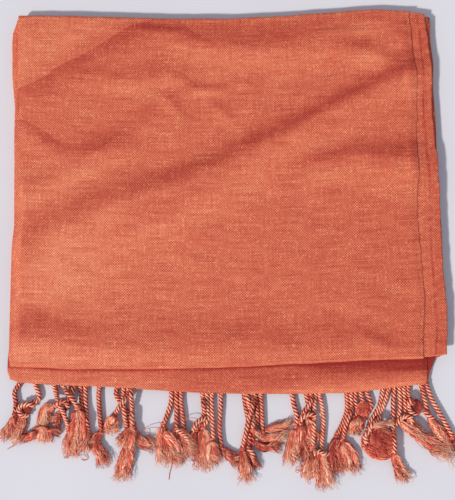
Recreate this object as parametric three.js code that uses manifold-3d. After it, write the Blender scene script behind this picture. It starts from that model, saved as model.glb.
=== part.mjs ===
// Pashmina scarf, folded flat: one cloth of 0.70 x 1.80 m with twisted, knotted fringe at its hem.
// Millimetres, +Z up. The cloth is folded once lengthwise (fold on the left) and then crosswise,
// so every panel is two leaves. Outlines are read in a layout frame and moved to CENTRE at the end.
import * as THREE from 'three';
import Module from 'manifold-3d';

const wasm = await Module();
wasm.setup();

const CENTRE = { x: -2.2, y: 5.9 };
const STACK_TOP = 12.0;
const LEAF = 1.0;
const SLIT = 0.25;
const PANEL = 2 * LEAF + SLIT;
const GAP = 0.3;

// Crosswise folds of the top panel: outer radius of each nose, and how far the front one is tucked.
const FRONT_NOSE_R = PANEL + 0.15;
const BACK_NOSE_R = 3.675;
const TUCK = 20;
const BAND_TOP = STACK_TOP - 2 * FRONT_NOSE_R - GAP;
const LOWER_TOP = BAND_TOP - PANEL - GAP;
const UPPER_TOP = STACK_TOP - PANEL - GAP;
const UPPER_BASE = LOWER_TOP + GAP;
const BAND_START = -66;
const BAND_DROOP = 0.7;
const BAND_STEPS = { upper: 20, lower: 10 };
const TOP_STEPS = { upper: 21, lower: 7, along: 20 };

// Outlines of the folded cloth: [along, across] pairs.
const LEFT_FOLD = [
  [-100, -178.5], [-92, -180], [-45, -180.4], [0, -180.8], [20, -179.4],
  [60, -180.6], [100, -182], [120, -182.2], [150, -181], [205, -182.2],
];
const UPPER_SELVAGE = [
  [-92, 161.5], [-78, 162], [-52, 164], [-18, 162.4], [20, 159.9], [41, 160.5],
  [60, 162], [95, 161.4], [112, 162.3], [145, 163.2], [173, 160.4], [207, 158.3],
];
const LOWER_SELVAGE = [
  [-88, 180.6], [-76, 179.6], [-60, 181], [-18, 179.8], [36, 179.2], [72, 178.6],
  [88, 176.8], [120, 175.2], [151, 176.3], [178, 174.1], [208, 171.2],
];
const FRONT_FOLD = [
  [-180, -98.4], [-125, -100.4], [-63, -100.4], [-2, -99], [60, -96.1], [121, -92.9],
  [166, -90.6], [182, -87.6],
];
const BACK_FOLD = [
  [-184, 203.8], [-146, 203.8], [-107, 202.4], [-50, 201.3], [0, 201.9], [42, 204.6],
  [85, 207.8], [128, 209.6], [158, 208.2], [180, 206.6],
];
const HEM = [
  [-180, -108.6], [-170, -111.4], [-142, -113.2], [-96, -114.8], [-63, -117.2],
  [-22, -119.6], [18, -120.4], [60, -120.4], [100, -119.6], [119, -117.6], [142, -114.2],
  [168, -112.6],
];
const BAND_LEFT = [[-112, -178.6], [-106, -180.6], [-98, -180.8], [-60, -179.6]];
const BAND_RIGHT = [[-114, 164.2], [-101, 165.2], [-90, 166], [-60, 166]];
const STACK_LEFT = [
  [-108, -178], [-60, -179], [0, -179.5], [60, -179.8], [120, -182.4], [150, -184.6],
  [172, -187], [186, -188.2], [196, -187], [206, -183],
];
const STACK_RIGHT = [
  [-108, 178], [-88, 180], [-64, 182.6], [-20, 182], [40, 180.2], [86, 180],
  [120, 179.2], [160, 178.2], [193, 176.8], [208, 175.4],
];

// Creases of the top panel: a ridge from one end to the other, bowed sideways at its middle,
// with a gentle side (positive is left of its travel) and a steep side.
const CREASES = [
  { from: [-186, 2], to: [156, 150], bow: -3, height: 2.6, left: 8, right: 17 },
  { from: [-186, 136], to: [-62, 205], bow: 4, height: 1.7, left: 14, right: 7 },
  { from: [-40, 197], to: [-8, 172], bow: 2, height: 1.0, left: 6, right: 8 },
  { from: [60, 190], to: [160, 178], bow: 3, height: 1.5, left: 7, right: 9 },
  { from: [-176, 116], to: [-140, 94], bow: -2, height: 1.2, left: 5, right: 8 },
  { from: [-184, 38], to: [-30, 136], bow: -4, height: 1.3, left: 9, right: 9 },
  { from: [56, 66], to: [166, 82], bow: 3, height: 1.5, left: 10, right: 16 },
  { from: [-184, -36], to: [-70, -34], bow: 6, height: 1.4, left: 24, right: 20 },
  { from: [-180, -88], to: [-96, -88], bow: 1, height: 1.0, left: 9, right: 8 },
  { from: [-60, 150], to: [4, 152], bow: 2, height: 0.8, left: 6, right: 8 },
  { from: [118, -64], to: [150, -84], bow: 1, height: 0.9, left: 6, right: 8 },
  { from: [160, 172], to: [161, 118], bow: 2, height: 1.5, left: 4, right: 6 },
  { from: [160, 92], to: [160, 44], bow: 2, height: 1.3, left: 4, right: 6 },
];
const BAND_CREASES = [
  { from: [40, -112], to: [172, -106], bow: 2, height: 1.2, left: 6, right: 7 },
  { from: [-176, -108], to: [-130, -109], bow: 0, height: 0.7, left: 5, right: 5 },
];

// Fringe, one row for each cord: the hem it hangs from (1 upper leaf, 0 lower leaf), its root on
// the hem, two bends, its knot, the tassel's tip and how wide the tassel fans at the tip.
const CORD_COLUMNS = ['leaf', 'root', 'bendA', 'bendB', 'knot', 'tip', 'fan'];
const CORDS = [
  [1, -171, [-176, -119], [-175, -127], [-175, -137], [-184, -160], 10],
  [0, -160, [-157, -121], [-158, -128], [-166, -132], [-174, -158], 8],
  [1, -144, [-141, -122], [-134, -136], [-130, -149], [-125, -172], 8],
  [1, -134, [-131, -120], [-134, -126], [-143, -131], [-154, -160], 20],
  [0, -127, [-127, -122], [-128, -130], [-132, -137], [-140, -149], 5],
  [0, -122, [-121, -122], [-121, -128], [-121, -134], [-121, -172], 10],
  [1, -117, [-116.5, -122], [-116, -138], [-115, -152], [-112, -166], 5],
  [1, -106, [-107, -122], [-105, -138], [-105, -150], [-99, -180], 9],
  [0, -88, [-86, -126], [-85, -141], [-84, -161], [-87, -190], 13],
  [1, -84, [-85, -124], [-89, -131], [-91, -139], [-94, -155], 12],
  [1, -80, [-79.5, -125], [-78.5, -133], [-81, -145], [-89, -165], 8],
  [0, -76, [-75, -126], [-74, -138], [-75, -152], [-56, -165], 7],
  [0, -47, [-46, -126], [-49, -135], [-52, -145], [-48, -181], 13],
  [1, -43, [-42, -128], [-41, -138], [-42, -149], [-40, -175], 10],
  [0, -38, [-38, -127], [-36.5, -140], [-35, -153], [-28, -172], 9],
  [1, -21, [-20.5, -128], [-20.5, -137], [-26, -148], [-23, -170], 12],
  [0, -16, [-16.5, -128], [-15, -140], [-13, -156], [-17, -184], 13],
  [0, -11, [-11.5, -124], [-11, -131], [-12, -139], [-14, -152], 5],
  [1, -5, [-5, -130], [-7, -148], [-4, -164], [10, -177], 9],
  [0, 10, [10.5, -128], [12.5, -145], [17.5, -167], [23, -184], 5],
  [1, 14, [15, -128], [16.5, -142], [12, -161], [14, -192], 9],
  [0, 18.5, [20, -128], [21, -141], [20, -158], [42, -164], 7],
  [1, 22.5, [24, -128], [23, -140], [21, -149], [48, -157], 8],
  [0, 27, [28, -127], [28, -138], [30, -149], [55, -142], 8],
  [1, 53, [55, -127], [57, -137], [58, -147], [55, -180], 9],
  [0, 57.5, [58.5, -127], [60.5, -138], [61, -150], [66, -176], 6],
  [1, 71, [69, -127], [65, -134], [67, -141], [70, -161], 12],
  [1, 75.5, [77, -127], [79, -141], [75, -166], [77, -198], 15],
  [0, 80, [81.5, -128], [77, -144], [70, -163], [67, -191], 12],
  [0, 98, [97.5, -134], [95, -143], [91, -153], [90, -187], 10],
  [1, 102, [101, -134], [96, -150], [102, -166], [107, -187], 15],
  [0, 105.5, [105, -126], [104, -134], [104, -142], [103, -157], 10],
  [0, 109.5, [109.5, -124], [110, -129], [110, -134], [110, -147], 7],
  [1, 113.5, [115, -124], [116.5, -130], [114, -136], [108, -146], 7],
  [1, 127, [126, -123], [121, -137], [114, -152], [119, -174], 20],
  [0, 130.5, [129, -123], [127, -130], [125, -138], [122, -150], 6],
  [1, 134.5, [133.5, -122], [132, -129], [130.5, -135], [130, -148], 4],
  [1, 138.5, [137, -125], [135.5, -138], [135, -167], [145, -193], 9],
  [0, 141.5, [141.5, -124], [141, -132], [142, -141], [142, -157], 5],
  [1, 145.5, [146, -124], [146, -132], [147, -141], [184, -171], 9],
  [0, 149.5, [149.5, -120], [149, -125], [151, -130], [161, -142], 9],
  [1, 161, [162.5, -121], [163.5, -130], [165, -138], [185, -172], 7],
];
const CORD_R = 1.65;
const ROOT_R = 0.42;
const KNOT_R = 2.5;
const CORD_STEP = 6;
const FLOOR_CLEARANCE = 0.4;
const CROSS_GAP = 0.4;
const STRIP = { width: 1.3, height: 0.9 };

// ---- small helpers -------------------------------------------------------------------------

const lerp = (a, b, t) => a + (b - a) * t;
const clamp = (v, lo, hi) => Math.min(hi, Math.max(lo, v));
const smooth = (t) => {
  const c = clamp(t, 0, 1);
  return c * c * (3 - 2 * c);
};

// A curve through a short table, eased from row to row and level past its ends.
function follow(table, at) {
  if (at <= table[0][0]) return table[0][1];
  for (let i = 1; i < table.length; i += 1) {
    if (at <= table[i][0]) {
      const t = (at - table[i - 1][0]) / (table[i][0] - table[i - 1][0]);
      return lerp(table[i - 1][1], table[i][1], lerp(t, smooth(t), 0.5));
    }
  }
  return table[table.length - 1][1];
}

function creaseHeight(rows, x, y) {
  let sum = 0;
  for (const c of rows) {
    const dx = c.to[0] - c.from[0];
    const dy = c.to[1] - c.from[1];
    const length = Math.hypot(dx, dy);
    const along = ((x - c.from[0]) * dx + (y - c.from[1]) * dy) / (length * length);
    const bowed = c.bow * 4 * along * (1 - along);
    const across = (dx * (y - c.from[1]) - dy * (x - c.from[0])) / length - bowed;
    const width = across > 0 ? c.left : c.right;
    const ends = smooth((along + 0.06) / 0.16) * smooth((1.06 - along) / 0.16);
    sum += c.height * ends * Math.exp(-((across / width) ** 2));
  }
  return Math.min(sum, 3.2);
}

// Joins rings of equal length into one closed body, with triangulated end caps.
function bodyFromRings(rings, capFaces) {
  const n = rings[0].length;
  const positions = rings.flat().flatMap((p) => [p.x, p.y, p.z]);
  const index = [];
  for (let j = 0; j + 1 < rings.length; j += 1) {
    for (let i = 0; i < n; i += 1) {
      const a = j * n + i;
      const b = j * n + ((i + 1) % n);
      index.push(a, b, b + n, a, b + n, a + n);
    }
  }
  const last = (rings.length - 1) * n;
  for (const [a, b, c] of capFaces) {
    index.push(a, c, b, last + a, last + b, last + c);
  }
  return outward(positions, index);
}

// Turns a body inside out when its enclosed volume comes out negative.
function outward(positions, index) {
  let volume = 0;
  const at = (i) => new THREE.Vector3(positions[3 * i], positions[3 * i + 1], positions[3 * i + 2]);
  for (let t = 0; t < index.length; t += 3) {
    volume += at(index[t]).dot(at(index[t + 1]).cross(at(index[t + 2])));
  }
  if (volume < 0) {
    for (let t = 0; t < index.length; t += 3) {
      [index[t + 1], index[t + 2]] = [index[t + 2], index[t + 1]];
    }
  }
  return { positions, index };
}

function addPart(group, name, body, look) {
  const moved = body.positions.map((v, i) => (i % 3 === 0 ? v - CENTRE.x : i % 3 === 1 ? v - CENTRE.y : v));
  const geometry = new THREE.BufferGeometry();
  geometry.setAttribute('position', new THREE.Float32BufferAttribute(moved, 3));
  geometry.setIndex(body.index);
  geometry.computeVertexNormals();
  const material = new THREE.MeshStandardMaterial({ metalness: 0, ...look });
  const mesh = new THREE.Mesh(geometry, material);
  mesh.name = name;
  group.add(mesh);
}

// ---- folded panels -------------------------------------------------------------------------

// The section of a panel folded lengthwise, as places across it. Each place has its share of the
// width, the depth below the outer face, and the leaf it belongs to. The ring runs along the outer
// face, round the left fold, back along the underside, and then through the slit.
function foldedSection(upperSteps, lowerSteps) {
  const outerR = PANEL / 2;
  const innerR = SLIT / 2;
  const places = [];
  const leafRow = (steps, depth, leaf, backwards) => {
    for (let k = 0; k <= steps; k += 1) {
      const share = (backwards ? steps - k : k) / steps;
      places.push({ share, depth, leaf, inset: outerR });
    }
  };
  const foldArc = (radius, angles) => {
    for (const angle of angles) {
      const rad = (angle * Math.PI) / 180;
      places.push({
        share: 0, depth: outerR - radius * Math.cos(rad), leaf: 'fold', inset: outerR - radius * Math.sin(rad),
      });
    }
  };
  leafRow(upperSteps, 0, 'upper', true);
  foldArc(outerR, [45, 90, 135]);
  leafRow(lowerSteps, PANEL, 'lower', false);
  leafRow(lowerSteps, LEAF + SLIT, 'lower', true);
  foldArc(innerR, [120, 60]);
  leafRow(upperSteps, LEAF, 'upper', false);
  return places;
}

// Triangles that close the section's end: each leaf's faces joined column by column, then the fold.
function sectionCap(upperSteps, lowerSteps) {
  const fold = upperSteps + 1;
  const under = fold + 3;
  const over = under + lowerSteps + 1;
  const inner = over + lowerSteps + 1;
  const back = inner + 2;
  const faces = [];
  for (let k = 0; k < upperSteps; k += 1) {
    const outer = upperSteps - k - 1;
    faces.push([outer, outer + 1, back + k], [outer, back + k, back + k + 1]);
  }
  for (let k = 0; k < lowerSteps; k += 1) {
    const facing = over + lowerSteps - k - 1;
    faces.push([under + k, under + k + 1, facing], [under + k, facing, facing + 1]);
  }
  faces.push([upperSteps, fold, back], [fold, inner + 1, back], [fold, fold + 1, inner + 1]);
  faces.push([fold + 1, inner, inner + 1], [fold + 1, fold + 2, inner]);
  faces.push([fold + 2, over + lowerSteps, inner], [fold + 2, under, over + lowerSteps]);
  return faces;
}

// Where a point of the top panel lies, by its share across and its share from front to back fold.
function panelPlace(share, leaf, inset, run) {
  const nominal = lerp(-98, 205, run);
  const right = leaf === 'lower' ? follow(LOWER_SELVAGE, nominal) : follow(UPPER_SELVAGE, nominal);
  const left = follow(LEFT_FOLD, nominal) + inset;
  const x = lerp(left, right, share);
  return { x, front: follow(FRONT_FOLD, x), back: follow(BACK_FOLD, x) };
}

function buildTopPanel() {
  const places = foldedSection(TOP_STEPS.upper, TOP_STEPS.lower);
  const stations = [];
  stations.push({ zone: 'tuck', reach: TUCK });
  stations.push({ zone: 'tuck', reach: TUCK / 2 });
  for (const angle of [180, 135, 90, 45]) stations.push({ zone: 'front', angle });
  for (let k = 0; k <= TOP_STEPS.along; k += 1) {
    stations.push({ zone: 'top', run: k / TOP_STEPS.along });
  }
  for (const angle of [36, 72, 108, 144, 180]) stations.push({ zone: 'back', angle });
  const rings = stations.map((station) => places.map((place) => {
    const run = station.zone === 'back' ? 1 : station.run ?? 0;
    const at = panelPlace(place.share, place.leaf, place.inset, run);
    const frontY = at.front + FRONT_NOSE_R;
    const backY = at.back - BACK_NOSE_R;
    if (station.zone === 'tuck') {
      const z = STACK_TOP - 2 * FRONT_NOSE_R + place.depth;
      return new THREE.Vector3(at.x, frontY + station.reach, z);
    }
    if (station.zone === 'front' || station.zone === 'back') {
      const sign = station.zone === 'front' ? -1 : 1;
      const noseR = sign < 0 ? FRONT_NOSE_R : BACK_NOSE_R;
      const rad = (station.angle * Math.PI) / 180;
      const r = noseR - place.depth;
      const y = (sign < 0 ? frontY : backY) + sign * r * Math.sin(rad);
      return new THREE.Vector3(at.x, y, STACK_TOP - noseR + r * Math.cos(rad));
    }
    const y = lerp(frontY, backY, station.run);
    const rise = place.leaf === 'upper' ? topRelief(at.x, y, at) : 0;
    return new THREE.Vector3(at.x, y, STACK_TOP - place.depth + rise);
  }));
  return bodyFromRings(rings, sectionCap(TOP_STEPS.upper, TOP_STEPS.lower));
}

function topRelief(x, y, at) {
  const fromFront = smooth((y - at.front - FRONT_NOSE_R) / 9);
  const fromBack = smooth((at.back - BACK_NOSE_R - y) / 9);
  const fromLeft = smooth((x - follow(LEFT_FOLD, y) - 1) / 9);
  return creaseHeight(CREASES, x, y) * fromFront * fromBack * fromLeft;
}

function bandDroop(y, hem) {
  return -BAND_DROOP * smooth((hem + 14 - y) / 14);
}

function bandPlace(place, run) {
  const nominal = lerp(BAND_START, -113, run);
  const left = follow(BAND_LEFT, nominal) + place.inset;
  const right = follow(BAND_RIGHT, nominal) + (place.leaf === 'lower' ? 2.6 : 0);
  const x = lerp(left, right, place.share);
  const hem = follow(HEM, x);
  return { x, hem, y: lerp(BAND_START, hem, run) };
}

function buildEndPanel() {
  const places = foldedSection(BAND_STEPS.upper, BAND_STEPS.lower);
  const runs = [0, 0.4, 0.7, 0.8, 0.9, 1];
  const rings = runs.map((run) => places.map((place) => {
    const { x, hem, y } = bandPlace(place, run);
    const open = smooth((follow(FRONT_FOLD, x) - 3 - y) / 7);
    const rise = place.leaf === 'upper' ? creaseHeight(BAND_CREASES, x, y) * open * smooth((y - hem) / 4) : 0;
    return new THREE.Vector3(x, y, BAND_TOP - place.depth + bandDroop(y, hem) + rise);
  }));
  return bodyFromRings(rings, sectionCap(BAND_STEPS.upper, BAND_STEPS.lower));
}

// ---- hidden layers -------------------------------------------------------------------------

// A stack of folded panels as one rounded body: level by level, each an outline drawn in by the
// bead of its layer. The inset at the front and at the back follows its own profile.
function buildStack(levels, frontOf, backOf) {
  const steps = 15;
  const rings = levels.map((level) => {
    const ring = [];
    const corner = (x, y) => ({ x, y });
    const left = (y) => follow(STACK_LEFT, y) + level.side;
    const right = (y) => follow(STACK_RIGHT, y) - level.side - level.shift;
    const front = (x) => frontOf(x) + level.front;
    const back = (x) => backOf(x) - level.back;
    const round = 4;
    for (let k = 0; k < steps; k += 1) {
      const x = lerp(-176 + round, 172 - round, k / (steps - 1));
      ring.push(corner(x, front(x)));
    }
    for (let k = 0; k < steps; k += 1) {
      const y = lerp(front(172) + round, back(172) - round, k / (steps - 1));
      ring.push(corner(right(y), y));
    }
    for (let k = 0; k < steps; k += 1) {
      const x = lerp(170 - round, -178 + round, k / (steps - 1));
      ring.push(corner(x, back(x)));
    }
    for (let k = 0; k < steps; k += 1) {
      const y = lerp(back(-178) - round, front(-176) + round, k / (steps - 1));
      ring.push(corner(left(y), y));
    }
    return ring.map((p) => new THREE.Vector3(p.x, p.y, level.z));
  });
  const flat = rings[0].map((p) => new THREE.Vector2(p.x, p.y));
  return bodyFromRings(rings, THREE.ShapeUtils.triangulateShape(flat, []));
}

// Levels of one layer's bead: drawn in at its seams and full at its middle.
function beadLevels(from, to, layers, overrides) {
  const levels = [];
  const depth = (to - from) / layers;
  for (let k = 0; k < layers; k += 1) {
    for (const [share, inset] of [[0, 1.2], [0.25, 0.2], [0.75, 0.2]]) {
      levels.push({ z: from + depth * (k + share), side: inset, shift: 0.9 * k });
    }
  }
  levels.push({ z: to, side: 1.4, shift: 0.9 * layers });
  return levels.map((level) => ({ ...level, ...overrides(level) }));
}

function buildLowerStack() {
  const levels = beadLevels(0, LOWER_TOP, 3, (level) => ({
    front: level.side + (level.z > 3.6 ? 3.5 : level.z * 0.5),
    back: level.side + 0.8,
  }));
  return buildStack(levels, (x) => follow(FRONT_FOLD, x) - 5, (x) => follow(BACK_FOLD, x));
}

function buildUpperStack() {
  const nestZ = STACK_TOP - BACK_NOSE_R;
  const levels = beadLevels(UPPER_BASE, UPPER_TOP, 2, (level) => ({
    front: level.side,
    back: 3.0 + 1.6 * Math.min(1, Math.abs(level.z - nestZ) / 1.2),
  }));
  return buildStack(levels, () => BAND_START + 4, (x) => follow(BACK_FOLD, x));
}

// ---- fringe --------------------------------------------------------------------------------

// A tube of few sides through points, closed at both ends.
function tube(points, radii, sides) {
  const rings = points.map((p, i) => {
    const ahead = points[Math.min(i + 1, points.length - 1)];
    const behind = points[Math.max(i - 1, 0)];
    const along = ahead.clone().sub(behind).normalize();
    const side = new THREE.Vector3(0, 0, 1).cross(along).normalize();
    const up = along.clone().cross(side);
    const ring = [];
    for (let k = 0; k < sides; k += 1) {
      const angle = ((k + 0.5) / sides) * 2 * Math.PI;
      ring.push(p.clone()
        .addScaledVector(side, radii[i] * Math.cos(angle))
        .addScaledVector(up, radii[i] * Math.sin(angle)));
    }
    return ring;
  });
  const cap = [];
  for (let k = 1; k + 1 < sides; k += 1) cap.push([0, k, k + 1]);
  return bodyFromRings(rings, cap);
}

function solidOf(body) {
  const mesh = new wasm.Mesh({
    numProp: 3,
    vertProperties: new Float32Array(body.positions),
    triVerts: new Uint32Array(body.index),
  });
  mesh.merge();
  return new wasm.Manifold(mesh);
}

function bodyOf(solid) {
  const mesh = solid.getMesh();
  return { positions: Array.from(mesh.vertProperties), index: Array.from(mesh.triVerts) };
}

// Height already taken by laid cords, on a grid of 1 mm cells, so that later ones lie over it.
class LaidHeight {
  constructor() {
    this.x0 = -205;
    this.y0 = -210;
    this.nx = 415;
    this.ny = 110;
    this.cells = new Float32Array(this.nx * this.ny);
  }

  forCells(x, y, reach, visit) {
    const i0 = Math.max(0, Math.floor(x - reach - this.x0));
    const i1 = Math.min(this.nx - 1, Math.ceil(x + reach - this.x0));
    const j0 = Math.max(0, Math.floor(y - reach - this.y0));
    const j1 = Math.min(this.ny - 1, Math.ceil(y + reach - this.y0));
    for (let j = j0; j <= j1; j += 1) {
      for (let i = i0; i <= i1; i += 1) {
        if (Math.hypot(this.x0 + i - x, this.y0 + j - y) <= reach) visit(j * this.nx + i);
      }
    }
  }

  under(x, y, reach) {
    let top = 0;
    this.forCells(x, y, reach, (cell) => { top = Math.max(top, this.cells[cell]); });
    return top;
  }

  lay(x, y, reach, top) {
    this.forCells(x, y, reach, (cell) => { this.cells[cell] = Math.max(this.cells[cell], top); });
  }
}

// Lays a path over what is there already: its centre height at each point, slope-limited.
function drapeHeights(path, radii, laid, startZ, hold) {
  const needed = (x, y, r) => {
    const base = laid.under(x, y, r + 1.1);
    return r + (base > 0 ? base + CROSS_GAP : FLOOR_CLEARANCE);
  };
  const z = path.map((p, i) => needed(p.x, p.y, radii[i]));
  const slope = 1.0;
  const fall = 0.6;
  for (let i = path.length - 2; i >= 0; i -= 1) {
    z[i] = Math.max(z[i], z[i + 1] - slope * path[i].distanceTo(path[i + 1]));
  }
  for (let i = 0; i < hold; i += 1) z[i] = startZ + 0.1 * i;
  for (let i = Math.max(1, hold); i < path.length; i += 1) {
    z[i] = Math.max(z[i], z[i - 1] - fall * path[i].distanceTo(path[i - 1]));
  }
  for (let i = 0; i + 1 < path.length; i += 1) {
    for (const t of [0.17, 0.33, 0.5, 0.67, 0.83]) {
      const at = path[i].clone().lerp(path[i + 1], t);
      const short = needed(at.x, at.y, lerp(radii[i], radii[i + 1], t)) - lerp(z[i], z[i + 1], t);
      if (short > 0 && i < hold) z[i + 1] += short / t;
      if (short > 0 && i >= hold) {
        z[i] += short;
        z[i + 1] += short;
      }
    }
  }
  return z;
}

// Evenly spaced points on a smooth curve through the given ones.
function resample(stops, spacing) {
  const curve = new THREE.CatmullRomCurve3(stops, false, 'centripetal');
  const count = Math.max(2, Math.round(curve.getLength() / spacing));
  return curve.getSpacedPoints(count);
}

const flatPoint = (pair) => new THREE.Vector3(pair[0], pair[1], 0);

function cordBodies(cord, line, laid) {
  const bodies = [];
  const root = lineAt(line, cord.root);
  const stops = [
    new THREE.Vector3(root.x, root.y, 0), flatPoint(cord.bendA), flatPoint(cord.bendB), flatPoint(cord.knot),
  ];
  const away = flatPoint(cord.tip).sub(flatPoint(cord.knot));
  const heading = away.clone().normalize();
  stops.push(flatPoint(cord.knot).addScaledVector(heading, KNOT_R * 1.1));
  const path = resample(stops, CORD_STEP);
  path.splice(1, 0, path[0].clone().lerp(path[1], 2.2 / CORD_STEP));
  const last = path.length - 1;
  const radii = path.map((p, i) => {
    if (i < 2) return ROOT_R * (1 + 0.5 * i);
    if (i === last) return KNOT_R * 0.62;
    if (i === last - 1) return KNOT_R;
    return CORD_R;
  });
  const z = drapeHeights(path, radii, laid, root.z, 2);
  bodies.push(tube(path.map((p, i) => new THREE.Vector3(p.x, p.y, z[i])), radii, 4));

  const locks = cord.fan < 6 ? 3 : cord.fan > 14 ? 5 : 4;
  const start = flatPoint(cord.knot).addScaledVector(heading, KNOT_R * 0.5);
  const length = away.length() - KNOT_R * 0.5;
  const sideways = new THREE.Vector3(-heading.y, heading.x, 0);
  const lockR = clamp((0.4 * cord.fan) / (locks - 1), 0.7, 1.5);
  const laidNow = [];
  for (let k = 0; k < locks; k += 1) {
    const spread = cord.fan * (k / (locks - 1) - 0.5);
    const reach = length * (1 - 0.22 * Math.abs(k / (locks - 1) - 0.42) - 0.07 * ((k * 7 + Math.round(cord.root)) % 3));
    const lockPath = [0, 0.45, 1].map((t) => start.clone()
      .addScaledVector(heading, reach * t)
      .addScaledVector(sideways, spread * t ** 0.75));
    const lockRadii = [lockR * 0.7, lockR, 0.3];
    const lz = drapeHeights(lockPath, lockRadii, laid, z[last], 1);
    bodies.push(tube(lockPath.map((p, i) => new THREE.Vector3(p.x, p.y, lz[i])), lockRadii, 3));
    laidNow.push([lockPath, lockRadii, lz]);
  }
  laidNow.push([path, radii, z]);
  for (const [line, rs, zs] of laidNow) {
    for (let i = 0; i + 1 < line.length; i += 1) {
      const steps = Math.max(1, Math.ceil(line[i].distanceTo(line[i + 1])));
      for (let s = 0; s <= steps; s += 1) {
        const t = s / steps;
        const at = line[i].clone().lerp(line[i + 1], t);
        const r = lerp(rs[i], rs[i + 1], t);
        laid.lay(at.x, at.y, r + 0.2, lerp(zs[i], zs[i + 1], t) + r);
      }
    }
  }
  return bodies;
}

// The middle line of the strip that a leaf's cords grow from, parallel to that leaf's hem.
function stripLine(leaf, z) {
  const steps = BAND_STEPS[leaf];
  const line = [];
  for (let k = 0; k <= steps; k += 1) {
    const { x, hem } = bandPlace({ share: k / steps, leaf, inset: PANEL / 2 }, 1);
    line.push(new THREE.Vector3(x, hem - GAP - STRIP.width / 2, z));
  }
  return line;
}

function lineAt(line, x) {
  let i = 1;
  while (i < line.length - 1 && line[i].x < x) i += 1;
  const t = clamp((x - line[i - 1].x) / (line[i].x - line[i - 1].x), 0.05, 0.95);
  return line[i - 1].clone().lerp(line[i], t);
}

function stripBody(points) {
  const rings = points.map((p) => [[-1, -1], [1, -1], [1, 1], [-1, 1]].map(([a, b]) => (
    new THREE.Vector3(p.x, p.y + (a * STRIP.width) / 2, p.z + (b * STRIP.height) / 2)
  )));
  return bodyFromRings(rings, [[0, 1, 2], [0, 2, 3]]);
}

function buildFringe() {
  const laid = new LaidHeight();
  const cords = CORDS.map((row) => Object.fromEntries(row.map((value, i) => [CORD_COLUMNS[i], value])));
  const upperZ = BAND_TOP - BAND_DROOP - LEAF / 2;
  const rows = [stripLine('lower', upperZ - LEAF - SLIT), stripLine('upper', upperZ)];
  return rows.map((line, leaf) => {
    let solid = solidOf(stripBody(line));
    for (const cord of cords.filter((c) => c.leaf === leaf)) {
      for (const body of cordBodies(cord, line, laid)) solid = solid.add(solidOf(body));
    }
    return bodyOf(solid.simplify(0.06));
  });
}

// ---- the scarf -----------------------------------------------------------------------------

const scarf = new THREE.Group();
scarf.name = 'pashmina_scarf';
const [lowerFringe, upperFringe] = buildFringe();
addPart(scarf, 'top_panel', buildTopPanel(), { color: 0xd9694a, roughness: 0.72 });
addPart(scarf, 'end_panel', buildEndPanel(), { color: 0xdd7050, roughness: 0.72 });
addPart(scarf, 'inner_layers', buildUpperStack(), { color: 0xc95c42, roughness: 0.8 });
addPart(scarf, 'under_layers', buildLowerStack(), { color: 0xbf5540, roughness: 0.8 });
addPart(scarf, 'fringe_lower', lowerFringe, { color: 0xb84a33, roughness: 0.65 });
addPart(scarf, 'fringe_upper', upperFringe, { color: 0xd0603c, roughness: 0.65 });

export default scarf;
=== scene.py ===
"""Looks of the folded scarf: fine cloth shells, hidden folded layers, twisted and knotted fringe.

Sizes are millimetres in the layout frame of the part's source; put() turns them into metres in the
row frame.
"""

import math

import bpy
import numpy as np
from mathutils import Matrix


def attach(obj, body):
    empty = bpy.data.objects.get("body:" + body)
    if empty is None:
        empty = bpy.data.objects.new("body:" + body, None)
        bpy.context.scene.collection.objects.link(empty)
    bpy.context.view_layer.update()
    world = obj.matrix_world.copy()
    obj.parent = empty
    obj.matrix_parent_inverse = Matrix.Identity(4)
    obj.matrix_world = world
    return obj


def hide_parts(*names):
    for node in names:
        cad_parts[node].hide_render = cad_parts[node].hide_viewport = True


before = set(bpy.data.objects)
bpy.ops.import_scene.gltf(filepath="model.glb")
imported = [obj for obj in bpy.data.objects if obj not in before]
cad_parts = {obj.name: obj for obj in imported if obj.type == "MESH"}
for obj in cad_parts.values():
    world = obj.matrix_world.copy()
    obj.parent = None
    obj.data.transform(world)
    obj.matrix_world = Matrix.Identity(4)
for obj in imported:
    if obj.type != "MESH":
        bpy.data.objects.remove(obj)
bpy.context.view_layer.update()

# The folded stack, as in the part's source: the row frame's middle, a leaf and the slit between two
# leaves, the gap between panels, the radii of the folds, how far the top panel is tucked under, where
# each panel's top lies, where the band begins under the top panel, and how far its hem droops.
CENTRE = np.array([-2.2, 5.9, 0.0])
STACK_TOP = 12.0
LEAF = 1.0
SLIT = 0.25
PANEL = 2 * LEAF + SLIT
GAP = 0.3
FRONT_NOSE_R = PANEL + 0.15
BACK_NOSE_R = 3.675
TUCK = 20.0
BAND_TOP = STACK_TOP - 2 * FRONT_NOSE_R - GAP
LOWER_TOP = BAND_TOP - PANEL - GAP
UPPER_TOP = STACK_TOP - PANEL - GAP
BAND_START = -66.0
BAND_DROOP = 0.7

# Outlines of the folded cloth. The folds and selvages at the sides are (across, along) pairs, and the
# near fold, the back fold and the hem are (along, across) pairs.
LEFT_FOLD = [
    (-100, -178.5), (-92, -180), (-45, -180.4), (0, -180.8), (20, -179.4),
    (60, -180.6), (100, -182), (120, -182.2), (150, -181), (205, -182.2),
]
UPPER_SELVAGE = [
    (-92, 161.5), (-78, 162), (-52, 164), (-18, 162.4), (20, 159.9), (41, 160.5),
    (60, 162), (95, 161.4), (112, 162.3), (145, 163.2), (173, 160.4), (207, 158.3),
]
LOWER_SELVAGE = [
    (-104, 182.2), (-97, 180.6), (-90, 180.9), (-76, 181.9), (-62, 182.2), (-48, 181.4),
    (-18, 179.8), (36, 179.2), (72, 178.6), (88, 176.8), (120, 175.2), (151, 176.3), (178, 174.1),
    (208, 171.2),
]
FRONT_FOLD = [
    (-180, -98.4), (-125, -100.4), (-63, -100.4), (-2, -99), (60, -96.1), (121, -92.9),
    (166, -91.6), (182, -89.4),
]
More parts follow.
